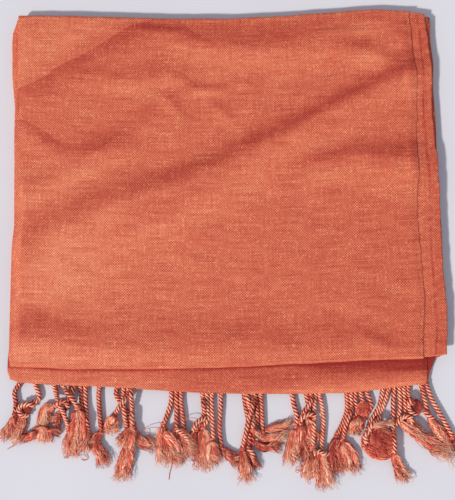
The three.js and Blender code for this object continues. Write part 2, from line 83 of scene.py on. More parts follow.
BACK_FOLD = [
    (-184, 205.5), (-146, 205.5), (-107, 204.5), (-50, 202.8), (0, 202.8), (42, 204.8),
    (85, 208), (113, 210.5), (128, 211.2), (158, 209.8), (180, 207.8),
]
HEM = [
    (-180, -108.6), (-170, -111.4), (-142, -113.2), (-96, -114.8), (-63, -117.2),
    (-22, -119.6), (18, -120.4), (60, -120.4), (100, -119.6), (119, -117.6), (142, -114.2),
    (168, -112.6),
]
BAND_LEFT = [(-112, -180), (-106, -182), (-98, -182), (-60, -179.6)]
BAND_RIGHT = [(-114, 164.2), (-101, 165.2), (-90, 166), (-60, 166)]
BAND_LIP = [(-114, 1.0), (-104, 2.0), (-96, 4.6), (-90, 6.5)]
STACK_LEFT = [
    (-108, -178), (-60, -179), (0, -179.5), (60, -179.8), (104, -182), (120, -184), (135, -185.6),
    (150, -187.4), (172, -187.6), (186, -188.2), (199, -187), (207, -184),
]
STACK_RIGHT = [
    (-108, 179.4), (-88, 180), (-64, 181), (-20, 181.6), (40, 180.2), (86, 180),
    (120, 179), (138, 178.8), (157, 180.2), (178, 178), (193, 177.6), (208, 178.4),
]

# Creases, each a line of stops along its crest: along and across the table, the crest's height, and
# how wide its far flank and its near flank are. A trough has heights below 0.
CREASES = [
    # the great diagonal one
    [
        (-192, -12, 2.0, 19, 26), (-149, 9, 2.8, 19, 30), (-107, 30, 3.1, 17, 30),
        (-65, 44.5, 3.3, 15, 28), (-23, 59.5, 3.4, 12, 24), (19, 81.5, 3.5, 11, 20),
        (62, 103.5, 3.3, 10, 18), (105, 127.5, 2.9, 9.5, 16), (149, 149, 2.2, 10, 14),
        (184, 158, 0.9, 9, 12),
    ],
    # across the far left corner
    [
        (-192, 116, 0, 12, 18), (-149, 140, 0.9, 15, 22), (-110, 165, 1.0, 15, 22),
        (-70, 188, 0.8, 12, 18),
    ],
    # under the back fold
    [
        (-64, 196, 0, 8, 9), (-34, 180, 0.8, 10, 12), (19, 174, 1.5, 13, 16), (80, 177, 1.5, 12, 16),
        (114, 172, 1.2, 9, 12), (140, 164, 0.8, 7, 10), (162, 155, 0, 7, 8),
    ],
    [(50, 186, 0, 5, 5), (90, 189, 0.6, 5, 6), (135, 190, 0, 5, 6)],
    # small ones between those
    [(-150, 146, 0, 8, 8), (-93, 146, 0.5, 10, 9), (-45, 149, 0.7, 10, 9), (-30, 150, 0, 8, 6)],
    [(-40, 140, 0, 4, 6), (-14, 138, 0.6, 4, 6), (10, 137, 0, 4, 5)],
    [
        (-188, 33, 0.8, 12, 10), (-142, 62, 1.4, 13, 12), (-100, 86, 1.3, 13, 11),
        (-66, 112, 0.8, 11, 10), (-36, 138, 0, 6, 8),
    ],
    [(-184, 112, 0.2, 6, 8), (-142, 82, 0.6, 9, 9), (-91, 86, 0.5, 9, 9), (-74, 90, 0, 8, 8)],
    [(-60, 138, 0, 6, 6), (-46, 122, 0.5, 6, 6), (-30, 104, 0, 6, 6)],
    [(-22, 132, 0, 6, 6), (-4, 117, 0.5, 6, 6), (14, 102, 0, 6, 6)],
    [(78, 104, 0, 4, 6), (96, 107, 0.5, 4, 6), (114, 112, 0, 4, 6)],
    # out of the near selvage
    [
        (18, 46, 0, 10, 14), (61, 68, 0.8, 10, 16), (100, 77, 1.5, 10, 18),
        (130, 76, 2.0, 12, 20), (156, 72, 2.0, 15, 22), (184, 64, 1.2, 16, 22),
    ],
    # along the near fold
    [
        (-188, -74, 1.4, 22, 12), (-151, -76, 1.8, 21, 13), (-105, -81, 1.3, 20, 13),
        (-23, -80, 1.0, 18, 14), (60, -78, 0.7, 16, 14), (112, -78, 0.4, 12, 12),
        (140, -84, 0, 8, 10),
    ],
    [(104, -68, 0, 5, 7), (124, -80, 0.45, 6, 8), (144, -92, 0, 6, 7)],
    [(-190, -28, 0.8, 20, 16), (-160, -24, 0.9, 22, 18), (-110, -20, 0, 22, 18)],
    # lifts of the upper selvage
    [(160, 178, 0, 8, 5), (158, 150, 0.8, 9, 5), (160, 116, 0, 8, 5)],
    [(160, 96, 0, 8, 5), (157, 70, 1.1, 9, 5), (160, 40, 0, 8, 5)],
]
BAND_CREASES = [
    [
        (0, -116, 0, 8, 12), (60, -114, 0.6, 9, 12), (110, -111, 1.0, 10, 12),
        (150, -107, 1.2, 10, 12), (172, -105, 1.2, 10, 12),
    ],
]

# Soft patches of painted shade on the top, redder, or below 0 lighter as painted light, beyond the
# painted shade of its creases: the middle, half length, half width, the length's angle in degrees, and
# how much redder.
PATCHES = [
    ((-149, 181), 58, 16, 31, -0.07),
    ((-95, 196), 18, 6, 0, -0.05),
    ((-170, -68), 34, 10, -4, 0.16),
    ((-92, 86), 28, 11, 20, 0.11),
    ((-85, 155), 24, 10, 0, 0.06),
    ((-182, -20), 24, 36, 0, 0.12),
    ((-50, -88), 80, 13, 0, 0.05),
    ((92, 106), 26, 6, 14, 0.05),
    ((70, -82), 90, 12, 1, 0.05),
    ((-10, 190), 76, 12, -2, 0.06),
    ((-145, 112), 50, 34, 10, 0.05),
    ((-48, 112), 30, 12, 20, 0.06),
    ((96, 191), 36, 5, 2, -0.14),
    ((133, 172), 20, 9, 0, -0.12),
    ((-140, 6), 66, 13, 24, -0.06),
    ((-55, 33), 60, 10, 24, 0.11),
    ((14, 72), 16, 9, 24, 0.06),
    ((74, 74), 26, 8, 10, 0.05),
    ((-140, -26), 50, 26, 0, -0.06),
    ((87, -52), 24, 9, 0, -0.05),
    ((-20, -72), 130, 9, 1, 0.03),
    ((160, 186), 14, 30, 0, 0.04),
    ((160, -25), 9, 30, 0, -0.05),
]

# Sharp lines that a fold pressed into the top, drawn only as painted shade on their near side: stops
# along and across the table, how far the painted shade reaches on the near side, and how much redder
# it is at the line.
PRESSED = [
    (
        [
            (-192, 132), (-181, 138), (-160, 147.7), (-145, 158.5), (-125, 169), (-104, 182),
            (-87, 193), (-68, 200),
        ],
        22, 0.19,
    ),
    ([(-176, 111.5), (-162, 104), (-149, 96)], 7, 0.18),
    ([(-62, 199), (-57.5, 192), (-53, 185)], 5, 0.14),
    ([(-41, 199), (-28, 188), (-13, 180)], 6, 0.13),
    ([(-49, 157.6), (-38, 151), (-28, 143.5)], 5, 0.12),
    ([(-98, 92), (-107, 85), (-117, 79)], 6, 0.12),
]

# Fringe, one row for each cord: leaf (1 upper, 0 lower), root on the hem, two bends, knot, the
# tassel's middle and tip, how wide the tassel fans (0 where the cord ends in a ball of yarn), and
# how dark its yarn is (0 light, 1 dark).
CORDS = [
    (1, -171, (-176, -119), (-175, -127), (-174.5, -137), (-178.5, -147), (-186, -158), 6, 0.9),
    (0, -160, (-155.5, -124), (-162, -128), (-171, -133), (-170, -147), (-178, -160), 12, 0.4),
    (0, -129.5, (-130.5, -124), (-132, -131), (-137, -135), (-140, -140), (-144, -146), 7, 0.9),
    (0, -126, (-129, -122), (-133, -127), (-141, -129.5), (-150.5, -135), (-151, -154), 11, 0.2),
    (1, -144, (-141, -122), (-134.5, -136), (-130.5, -150), (-129, -159), (-127, -172), 9, 0.2),
    (1, -137, (-131.5, -119.5), (-127, -124), (-123, -131.5), (-122, -146), (-125, -171), 14, 0.3),
    (0, -122, (-121, -122), (-120.5, -130), (-120, -140), (-119, -150), (-119, -166), 10, 0.7),
    (1, -117.5, (-117.5, -122), (-116, -138), (-114, -153), (-114, -160), (-117, -168), 6, 0.5),
    (1, -106, (-106.5, -122), (-105.5, -136), (-104, -150), (-108.5, -160), (-99.5, -180), 10, 0.7),
    (0, -91, (-92, -121.5), (-86.5, -129.5), (-80, -140), (-74, -157), (-57, -165), 8, 0.8),
    (0, -86, (-86, -126), (-84, -141), (-81, -159), (-83, -172), (-88, -191), 13, 0.1),
    (1, -82, (-82.5, -123), (-88, -130), (-92, -137), (-95, -144), (-96, -154), 12, 0.4),
    (1, -79, (-79, -125), (-78.5, -135), (-78, -146), (-81, -155), (-86, -166), 15, 0.3),
    (0, -46.5, (-46.5, -127), (-49.5, -137), (-52.5, -145.5), (-54, -158), (-51, -178), 12, 0.5),
    (0, -38.5, (-38.5, -127), (-37, -138), (-36, -149), (-36, -161), (-33, -174), 12, 0.6),
    (1, -42.5, (-42, -128), (-42, -138), (-42, -148), (-45, -162), (-43, -182), 14, 0.6),
    (1, -21, (-20, -128), (-19.5, -138), (-26, -149), (-29, -158), (-26, -172), 8, 0.6),
    (0, -17, (-17, -128), (-16, -140), (-20, -147), (-18, -160), (-19, -183), 15, 0.1),
    (1, -12.5, (-13, -124), (-12.5, -140), (-11.5, -157), (-12, -165), (-10, -178), 11, 0.1),
    (1, -5.5, (-5.5, -130), (-6.5, -148), (-5, -163), (1, -169), (12, -177), 9, 0.6),
    (0, 13.5, (14.5, -128), (17.5, -145), (18, -163), (20, -172), (22, -183), 7, 0.9),
    (0, 22.5, (24, -130), (24.5, -142), (21, -158), (31, -164), (44, -162), 6, 0.9),
    (1, 15.5, (18, -130), (21, -140), (21, -149), (31, -156), (51, -154), 5, 0.1),
    (1, 19, (20.5, -130), (17, -143), (12.5, -164), (13, -174), (15, -193), 9, 0.5),
    (1, 27, (28, -127), (28.5, -138), (29, -150), (39, -148.5), (54, -142.5), 5, 0.6),
    (0, 53, (55, -130), (57, -138), (57, -147), (54, -162), (54, -179), 12, 0.4),
    (0, 65, (66, -126), (67, -133), (65, -139), (67, -150), (72, -163), 11, 0.5),
    (0, 73, (72, -128), (71, -145), (70, -163), (68, -176), (66, -190), 11, 0.2),
    (1, 69, (68.5, -127), (63.5, -134), (60, -143), (62, -160), (70, -178), 11, 0.8),
    (1, 75.5, (78, -130), (79, -144), (77, -166), (77, -178), (82, -198), 15, 0.1),
    (0, 98.5, (98.5, -134), (94, -146), (90, -154), (88, -168), (91, -186), 12, 0.8),
    (0, 106, (105.5, -126), (107, -134), (105, -140), (104, -146), (103, -154), 11, 0.8),
    (1, 102, (102, -132), (97, -145), (95, -158), (100, -171), (104, -187), 18, 0.4),
    (1, 110, (110.5, -122), (111.5, -125), (112, -128), (112, -131), (112, -134), 0, 0.4),
    (1, 114.5, (117, -124), (118.5, -131), (114.5, -137), (110, -141), (104, -147), 8, 0.5),
    (1, 129, (125, -131), (115, -148), (111.5, -162), (113, -166), (115, -169), 0, 0.4),
    (1, 134, (130, -127), (126, -136), (121, -146), (120, -149), (119, -152), 0, 0.4),
    (0, 142, (142.5, -127), (142, -134), (141, -142), (155, -152.5), (187, -172), 13, 0.3),
    (0, 149.5, (149.5, -120), (150.5, -124), (152, -127), (153, -129), (154, -131), 0, 0.8),
    (1, 138.5, (137, -126), (136.5, -142), (136, -167), (139, -177), (147, -192), 10, 0.6),
    (1, 145.5, (146.5, -125), (147, -132), (147, -139), (150, -145), (158, -152), 8, 0.4),
    (1, 160, (162.5, -123), (164, -129), (165, -136), (171, -147), (186, -166), 10, 0.5),
    (1, 164.5, (169, -125), (176, -138), (185, -155), (187, -160), (190, -168), 6, 0.4),
]

# Yarn that lies loose on the rest: where it starts and how high, its middle and tip, fan and dark.
LOOSE = [
    ((-151, -147, 3.4), (-152, -153), (-153, -161), 21, 0.3),
    ((-156, -151, 2.4), (-163, -155), (-172, -157.5), 5, 0.6),
    ((-147, -150, 2.4), (-141, -150.5), (-137, -153.5), 4, 0.7),
    ((-52, -151, 4.5), (-44, -159), (-37, -173), 9, 0.4),
    ((-38, -149, 4.0), (-32, -157), (-28, -168), 7, 0.4),
    ((141, -143, 4.0), (152, -149.5), (166, -157), 6, 0.0),
    ((-92, -139, 4.0), (-97, -144), (-95, -151), 6, 0.2),
    ((118, -147, 6.0), (127, -145), (136, -143.5), 4, 0.0),
]

# Cord that lies coiled on the rest, in loops and tight turns: how dark, and its stops.
COILS = [
    (0.1, [
        (-159, -130.5), (-164, -128.6), (-169.5, -129.8), (-171.5, -134), (-168.5, -138),
        (-163.5, -137.6),
    ]),
    (0.3, [(-139, -129), (-136, -126.4), (-132.5, -127.4), (-131, -131)]),
    (0.1, [(-41.5, -149.5), (-37.5, -151.5), (-34, -154.5), (-32, -159)]),
    (0.2, [(-18, -140), (-22.5, -141.8), (-26, -145), (-28, -150)]),
    (0.2, [(17, -164.5), (20, -167.5), (21.5, -171.5)]),
    (0.1, [(60, -142), (62.5, -138.5), (67.5, -137), (73, -138.6)]),
    (0.1, [(71.5, -169.5), (75, -166.8), (79, -168.8), (83.5, -168.4)]),
    (0.1, [(126, -139), (121.5, -142.6), (117, -146), (115.5, -151)]),
    (0.1, [(115, -150.5), (111.6, -154.5), (113.5, -159)]),
    (0.1, [(139.5, -145.5), (141.5, -141), (146, -138.8), (151, -140.6), (150.6, -145.5)]),
    (0.2, [(150.5, -124.5), (148.8, -129), (150.2, -134.5), (155, -137.4)]),
    (0.0, [(162, -134.5), (165, -138), (169, -140.5)]),
]

# Balls of gathered yarn: leaf, middle, half length, half width, the length's angle, how dark. Above 1
# is darker than the darkest yarn: the 1.5 at (155, -131.5) is painted shade for a ball that lies in
# shadow, and the 1.4 is darker than the darkest yarn too.
BALLS = [
    (0, (155, -131.5), 6.5, 5.5, 80, 1.5),
    (1, (-165.6, -134), 3.6, 3.2, 60, 1.4),
    (1, (112, -133), 6.5, 5.5, 20, 0.4),
    (1, (124, -160.5), 14, 12.5, -30, 0.4),
    (1, (-123, -134.5), 4.0, 3.6, 90, 0.2),
]

# Loose threads: points along and across the table, with their height.
THREADS = [
    [(-72, -153, 1), (-68, -149.5, 3), (-60, -147.5, 4), (-53, -149, 3)],
    [(-66.5, -150, 2), (-64.5, -154.5, 1), (-66.5, -159, 1)],
    [(-36, -141.5, 3), (-30.5, -139.8, 4), (-25, -140.5, 4), (-20, -141, 3)],
    [(-46, -179, 1), (-47.5, -185, 0.5), (-48, -190, 0.4)],
    [(-169, -157, 1), (-174, -161.5, 0.5), (-181, -165.5, 0.4)],
    [(11, -181, 1), (10.5, -186, 0.5), (8.5, -190, 0.4)],
    [(-117, -170, 1), (-114.5, -173, 0.5), (-117.5, -174.5, 0.4), (-120, -173.5, 0.4)],
]
# Patches of loose curled tips: middle, half width, number of curls.
CURLS = [((65, -184.5), 7.5, 34), ((-129, -166), 5, 14), ((-23, -173), 6, 18), ((-85, -186), 5, 12)]

# Cords: the radius, the plies, their radius, how long a full twist is, how far apart the points along
# a cord are, how many strands a tassel with a fan of 10 has, how many stops a tassel's line and its
# strands have, and a full turn for random starts.
CORD_R = 2.1
PLIES = 3
PLY_R = 1.02
TWIST_PITCH = 8.7
CORD_STEP = 0.65
STRANDS = 76
TASSEL_STOPS = 16
ROUND = 6.28

# A knot's two yarns: how far from the cord's middle, their radius, how far along the cord each one
# runs, and its turns.
KNOT_R, KNOT_YARN_R, KNOT_LENGTH, KNOT_TURNS = 1.75, 0.8, 2.6, 1.5

# Cloth: a leaf's width, the highest a crease gets, how far the outer face droops at its selvage, how
# far at most, and how far the faces below it do, how far the selvage puckers, how wide a strip beside
# it has closer points and how far in the last one is, how much painted shade a slope falling away from
# the light and the hidden layers get, and how thick the thread is in metres.
LEAF_WIDTH = 350
TALLEST = 4.2
SELVAGE_DROP = 0.96
MOST_DROP = 1.08
LOWER_DROP = 0.2
PUCKER = 0.10
STRIP = 20.0
EDGE = 1.0
FALL_SHADE = 1.45
HIDDEN_SHADE = 0.18
THREAD = 0.00104

# The stitched line of the lower leaf: how far in from the selvage, how much nearer it comes to it with
# each millimetre away, and its half width.
STITCH_AT, STITCH_SLANT, STITCH_WIDTH = 8.6, 0.009, 0.75

# The outlines' tables are read at a panel's nominal front and over its nominal depth.
TOP_FRONT, TOP_DEPTH = -98, 303
HIDDEN_FRONT, HIDDEN_DEPTH = -100, 305
BAND_FRONT = -113

# Steps from the near end of a panel to its far end.
TOP_ROWS, HIDDEN_ROWS = 250, 26

# The lowest panels are thinner: a panel, a leaf, and the step from one panel's top to the next one's.
UNDER_PANEL, UNDER_LEAF, UNDER_STEP = 1.4, 0.62, 1.45

# The hidden panels' ends: the inner and the lowest ones' distance from the top panel's back fold, how
# far the lowest ones reach beyond its front fold, and how far past the band's beginning the inner
# ones stop.
INNER_BACK, UNDER_BACK, UNDER_FRONT, INNER_FRONT = 4.1, 2.2, 3.2, 5.0


# ---- small helpers -------------------------------------------------------------------------

def smooth(t):
    c = np.clip(t, 0.0, 1.0)
    return c * c * (3 - 2 * c)


def follow(table, at):
    """A curve through a short table, eased from row to row and level past its ends."""
    keys = np.array([row[0] for row in table], float)
    values = np.array([row[1] for row in table], float)
    at = np.clip(np.asarray(at, float), keys[0], keys[-1])
    i = np.clip(np.searchsorted(keys, at) - 1, 0, len(keys) - 2)
    t = (at - keys[i]) / (keys[i + 1] - keys[i])
    t = 0.5 * t + 0.5 * smooth(t)
    return values[i] + (values[i + 1] - values[i]) * t


def from_line(line, x, y):
    """Of points: how far they are from a line, if they lie on its far side, and which of the line's
    stops is nearest, with the share to the next one."""
    nearest = np.full(x.shape, 1e9)
    beyond, stop = np.zeros(x.shape, bool), np.zeros(x.shape)
    for k, (a, b) in enumerate(zip(line[:-1], line[1:])):
        dx, dy = b[0] - a[0], b[1] - a[1]
        t = np.clip(((x - a[0]) * dx + (y - a[1]) * dy) / (dx * dx + dy * dy), 0, 1)
        off_x, off_y = x - a[0] - t * dx, y - a[1] - t * dy
        far = np.hypot(off_x, off_y)
        closer = far < nearest
        beyond = np.where(closer, dx * off_y - dy * off_x > 0, beyond)
        stop = np.where(closer, k + t, stop)
        nearest = np.where(closer, far, nearest)
    return nearest, beyond, stop


def crease_height(creases, x, y):
    """The soft rise of the cloth at points, from the nearest place on each crease's line."""
    x, y = np.broadcast_arrays(np.asarray(x, float), np.asarray(y, float))
    total = np.zeros(x.shape)
    for stops in creases:
        line = spline(stops, 7.0)
        far, beyond, stop = from_line(line, x, y)
        height, far_flank, near_flank = (
            np.interp(stop, np.arange(len(line)), line[:, k]) for k in (2, 3, 4)
        )
        total += height * np.exp(-((far / np.where(beyond, far_flank, near_flank)) ** 2))
    return TALLEST * np.tanh(total / TALLEST)


def ripple(x, y, wavelength, seed):
    """Soft uneven waves, mostly between -1 and 1, from a few sines in seeded directions."""
    rng = np.random.default_rng(seed)
    total = np.zeros(np.broadcast(x, y).shape)
    for _ in range(7):
        angle = rng.uniform(0, math.pi)
        k = 2 * math.pi / (wavelength * rng.uniform(0.7, 1.6))
        phase = rng.uniform(0, 2 * math.pi)
        total = total + np.sin(k * (x * math.cos(angle) + y * math.sin(angle)) + phase)
    return total / 7 * 1.6


def run_of(points):
    """How far along a line each of its points lies."""
    return np.concatenate([[0], np.cumsum(np.linalg.norm(np.diff(points, axis=0), axis=1))])


def put(points):
    """Layout millimetres to row-frame metres."""
    return (np.asarray(points, float) - CENTRE) / 1000.0


def make_object(name, vertices, faces, material, uv=None, tone=None, lay=None):
    """A smooth-shaded mesh object. tone is a number and lay a vector for each vertex, read by its
    material."""
    mesh = bpy.data.meshes.new(name)
    mesh.from_pydata(vertices.tolist(), [], [tuple(int(i) for i in f) for f in faces])
    mesh.validate()
    mesh.materials.append(material)
    mesh.polygons.foreach_set("use_smooth", np.full(len(mesh.polygons), True))
    if tone is not None:
        values = mesh.attributes.new("tone", "FLOAT", "POINT")
        values.data.foreach_set("value", np.asarray(tone, np.float32).ravel())
    if lay is not None:
        values = mesh.attributes.new("lay", "FLOAT_VECTOR", "POINT")
        values.data.foreach_set("vector", np.asarray(lay, np.float32).ravel())
    if uv is not None:
        layer = mesh.uv_layers.new(name="cloth")
        loops = np.empty(len(mesh.loops), np.int32)
        mesh.loops.foreach_get("vertex_index", loops)
        layer.data.foreach_set("uv", uv[loops].astype(np.float32).ravel())
    mesh.update()
    obj = bpy.data.objects.new(name, mesh)
    bpy.context.scene.collection.objects.link(obj)
    return obj


# ---- materials -----------------------------------------------------------------------------

BUMP_DEPTH = 0.0002


class Nodes:
    """Short calls for building a node tree."""

    def __init__(self, name, roughness, sheen=0.0, sheen_tint=(1, 1, 1, 1)):
        self.material = bpy.data.materials.new(name)
        self.material.use_nodes = True
        self.tree = self.material.node_tree
        self.shader = self.tree.nodes["Principled BSDF"]
        self.fill(self.shader, {
            "Roughness": roughness, "Specular IOR Level": 0.35,
            "Sheen Weight": sheen, "Sheen Roughness": 0.35, "Sheen Tint": sheen_tint,
        })

    def link(self, source, target):
        self.tree.links.new(source, target)

    def node(self, kind, **settings):
        made = self.tree.nodes.new(kind)
        for key, value in settings.items():
            setattr(made, key, value)
        return made

    def fill(self, node, values, output=0):
        """Links or sets the sockets that values names, and gives one of the node's outputs."""
        for socket, value in values.items():
            if isinstance(value, bpy.types.NodeSocket):
                self.link(value, node.inputs[socket])
            elif value is not None:
                node.inputs[socket].default_value = value
        return node.outputs[output] if node.outputs else None

    def math(self, operation, a, b=None, c=None, clamp=False):
        node = self.node("ShaderNodeMath", operation=operation, use_clamp=clamp)
        return self.fill(node, {0: a, 1: b, 2: c})

    def mix(self, factor, a, b):
        return self.fill(self.node("ShaderNodeMix", data_type="RGBA"), {0: factor, 6: a, 7: b}, 2)

    def vector(self, operation, a, b=None, scale=None):
        node = self.node("ShaderNodeVectorMath", operation=operation)
        return self.fill(node, {0: a, 1: b} if scale is None else {0: a, "Scale": scale})

    def split(self, vector):
        node = self.node("ShaderNodeSeparateXYZ")
        self.link(vector, node.inputs[0])
        return node.outputs[0], node.outputs[1]

    def joined(self, x, y):
        return self.fill(self.node("ShaderNodeCombineXYZ"), {0: x, 1: y})

    def attribute(self, name, output):
        return self.node("ShaderNodeAttribute", attribute_name=name).outputs[output]

    def noise(self, vector, scale, detail, rough, output="Fac"):
        sockets = {"Vector": vector, "Scale": scale, "Detail": detail, "Roughness": rough}
        return self.fill(self.node("ShaderNodeTexNoise"), sockets, output)

    def stretch(self, value, low, high):
        """Spreads low..high of a value over 0..1."""
        node = self.node("ShaderNodeMapRange", clamp=True)
        return self.fill(node, {"Value": value, "From Min": low, "From Max": high})

    def blend(self, value, low, high, share, base):
        """Adds a share of a value, spread from low..high over 0..1, to a base."""
        return self.math("MULTIPLY_ADD", self.stretch(value, low, high), share, base)

    def colour_by(self, tone, first, last, between):
        """The base colour: from the first to the last over a tone of 0..1, through those between."""
        node = self.node("ShaderNodeValToRGB")
        stops = node.color_ramp.elements
        stops[0].color = first
        stops[1].color = last
        for position, colour in between:
            stops.new(position).color = colour
        self.link(tone, node.inputs[0])
        self.link(node.outputs[0], self.shader.inputs["Base Color"])

    def bump(self, height, strength):
        sockets = {"Strength": strength, "Distance": BUMP_DEPTH, "Height": height}
        self.link(self.fill(self.node("ShaderNodeBump"), sockets), self.shader.inputs["Normal"])


def rgb(red, green, blue):
    """A linear colour from values as a screen shows them, 0 to 255."""
    def linear(v):
        v /= 255
        return v / 12.92 if v < 0.04045 else ((v + 0.055) / 1.055) ** 2.4
    return (linear(red), linear(green), linear(blue), 1.0)


def cloth_material(name, light, mid, dark):
    """Plain weave of an orange warp and a red weft. The tone attribute holds painted shade, redder
    where the cloth falls away from the light into a crease, and other painted shade and light, along
    with the stitched line and random tone. The lay attribute holds the distance to a pressed line in
    millimetres, above 0 on its near side, and how much redder its painted shade makes the cloth there."""
    n = Nodes(name, 0.58, sheen=0.12, sheen_tint=rgb(255, 176, 130))
    uv = n.node("ShaderNodeUVMap", uv_map="cloth").outputs[0]
    wobble = n.vector("SCALE", n.noise(uv, 16.0, 2.0, 0.5, "Color"), scale=0.004)
    threads = n.vector("SCALE", n.vector("ADD", uv, wobble), scale=1 / THREAD)
    warp_at, weft_at = n.split(threads)
    warp = n.math("SINE", n.math("MULTIPLY", warp_at, math.pi))
    weft = n.math("SINE", n.math("MULTIPLY", weft_at, math.pi))
    over = n.math("MULTIPLY", warp, weft)
    crossing = n.node("ShaderNodeTexWhiteNoise", noise_dimensions="2D")
    crossing = n.fill(crossing, {"Vector": n.vector("FLOOR", threads)}, "Value")
    weft_row = n.joined(n.math("MULTIPLY", warp_at, 0.03), n.math("FLOOR", weft_at))
    weft_tone = n.noise(weft_row, 1.0, 1.0, 0.5)
    warp_row = n.joined(n.math("FLOOR", warp_at), n.math("MULTIPLY", weft_at, 0.04))
    warp_tone = n.noise(warp_row, 1.0, 1.0, 0.5)
    clear = n.blend(n.noise(uv, 34.0, 2.0, 0.6), 0.35, 0.65, 0.35, 0.55)
    bright = n.math("MULTIPLY", n.stretch(crossing, 0.93, 1.0), clear)
    tone = n.math("MULTIPLY_ADD", crossing, 0.16, -0.06)
    tone = n.blend(weft_tone, 0.3, 0.7, 0.21, tone)
    tone = n.blend(warp_tone, 0.25, 0.75, 0.14, tone)
    tone = n.math("MULTIPLY_ADD", n.math("MULTIPLY", over, clear), 0.46, tone)
    tone = n.math("MULTIPLY_ADD", bright, 0.27, tone)
    tone = n.blend(n.noise(uv, 60.0, 3.0, 0.6), 0.3, 0.7, 0.04, n.math("ADD", tone, 0.25))
    # painted shade on the near side of the pressed lines
    to_line, redder = n.split(n.attribute("lay", "Vector"))
    tone = n.math("SUBTRACT", tone, n.math("MULTIPLY", n.stretch(to_line, -0.4, 0.6), redder))
    tone = n.math("SUBTRACT", tone, n.attribute("tone", "Fac"), clamp=True)
    n.colour_by(tone, dark, light, [(0.5, mid)])
    height = n.math("MULTIPLY", weft_tone, 0.5)
    height = n.math("MULTIPLY_ADD", n.math("ABSOLUTE", over), 0.6, height)
    n.bump(n.math("MULTIPLY_ADD", crossing, 0.4, height), 0.8)
    return n.material


def yarn_material(name, light, mid, dark, deep):
    """Silky yarn. The tone attribute holds the yarn's dye with painted shade, 0 deep between the plies
    and on shaded undersides and 1 on the lit outer sides of the plies, and painted light on the
    tassels. The lay attribute holds millimetres round and along each yarn, for streaks that run along
    it."""
    n = Nodes(name, 0.36, sheen=0.10, sheen_tint=rgb(255, 180, 150))
    n.fill(n.shader, {"Specular IOR Level": 1.0, "Specular Tint": rgb(255, 208, 188)})
    fibre = n.noise(n.attribute("lay", "Vector"), 1.5, 2.0, 0.6)
    where = n.node("ShaderNodeTexCoord").outputs["Object"]
    tone = n.blend(fibre, 0.3, 0.7, 0.40, -0.20)
    tone = n.blend(n.noise(where, 170.0, 2.0, 0.6), 0.3, 0.7, 0.30, n.math("SUBTRACT", tone, 0.15))
    tone = n.math("ADD", tone, n.attribute("tone", "Fac"), clamp=True)
    n.colour_by(tone, deep, light, [(0.36, dark), (0.68, mid)])
    n.bump(fibre, 0.7)
    return n.material


CLOTH = cloth_material("pashmina_weave", rgb(255, 176, 128), rgb(216, 102, 73), rgb(150, 32, 26))
YARN = yarn_material(
    "fringe_yarn", rgb(255, 200, 168), rgb(233, 108, 80), rgb(175, 54, 48), rgb(88, 22, 31)
)


# ---- folded cloth --------------------------------------------------------------------------

UPPER, LOWER, FOLD = 0, 1, 2


class Section:
    """The section across a panel that is folded lengthwise, run round as one ring: the outer face
    from selvage to fold, the fold, the underside, and back through the slit between the leaves."""

    def __init__(self, outer, under, lower, bend, panel=PANEL, leaf=LEAF):
        slit = panel - 2 * leaf
        big, small = panel / 2, slit / 2
        share, depth, owner, inset = [], [], [], []

        def row(steps, level, who, backwards):
            far, near = 1 - STRIP / LEAF_WIDTH, 1 - EDGE / LEAF_WIDTH
            wide, close = np.linspace(0, far, steps - 15), np.linspace(far, near, 16)[1:]
            run = np.concatenate([wide, close, [1.0]])
            share.extend(run[::-1] if backwards else run)
            depth.extend([level] * (steps + 1))
            owner.extend([who] * (steps + 1))
            inset.extend([big] * (steps + 1))

        def arc(radius, angles):
            for angle in np.radians(angles):
                share.append(0.0)
                depth.append(big - radius * math.cos(angle))
                owner.append(FOLD)
                inset.append(big - radius * math.sin(angle))

        marks = [0]
        row(outer, 0.0, UPPER, True)
        marks.append(len(share))
        arc(big, np.linspace(0, 180, bend + 2)[1:-1])
        marks.append(len(share))
        row(lower, panel, LOWER, False)
        marks.append(len(share))
        row(lower, panel - leaf, LOWER, True)
        marks.append(len(share))
        arc(small, [120, 60])
        marks.append(len(share))
        row(under, leaf, UPPER, False)
        self.marks = marks
        self.size = len(share)
        self.share = np.array(share)
        self.depth = np.array(depth)
        self.owner = np.array(owner)
        self.inset = np.array(inset)
        self.beneath = (self.depth == leaf) | (self.depth == panel)

    def caps(self):
        """Triangles of one closed end, in ring order."""
        m = self.marks
        faces = zip_rows(list(range(m[0], m[1])), list(range(self.size - 1, m[5] - 1, -1)))
        faces += zip_rows(list(range(m[2], m[3])), list(range(m[4] - 1, m[3] - 1, -1)))
        outer = [m[1] - 1, *range(m[1], m[2]), m[2]]
        inner = [m[5], m[5] - 1, m[5] - 2, m[4] - 1]
        faces += zip_rows(outer, inner)
        return faces


def zip_rows(first, second):
    """Triangles between two rows that run side by side, keeping the first row's direction."""
    faces = []
    i = j = 0
    while i < len(first) - 1 or j < len(second) - 1:
        step_first = j == len(second) - 1 or (
            i < len(first) - 1 and (i + 1) / (len(first) - 1) <= (j + 1) / (len(second) - 1)
        )
        if step_first:
            faces.append((first[i], first[i + 1], second[j]))
            i += 1
        else:
            faces.append((first[i], second[j + 1], second[j]))
            j += 1
    return faces


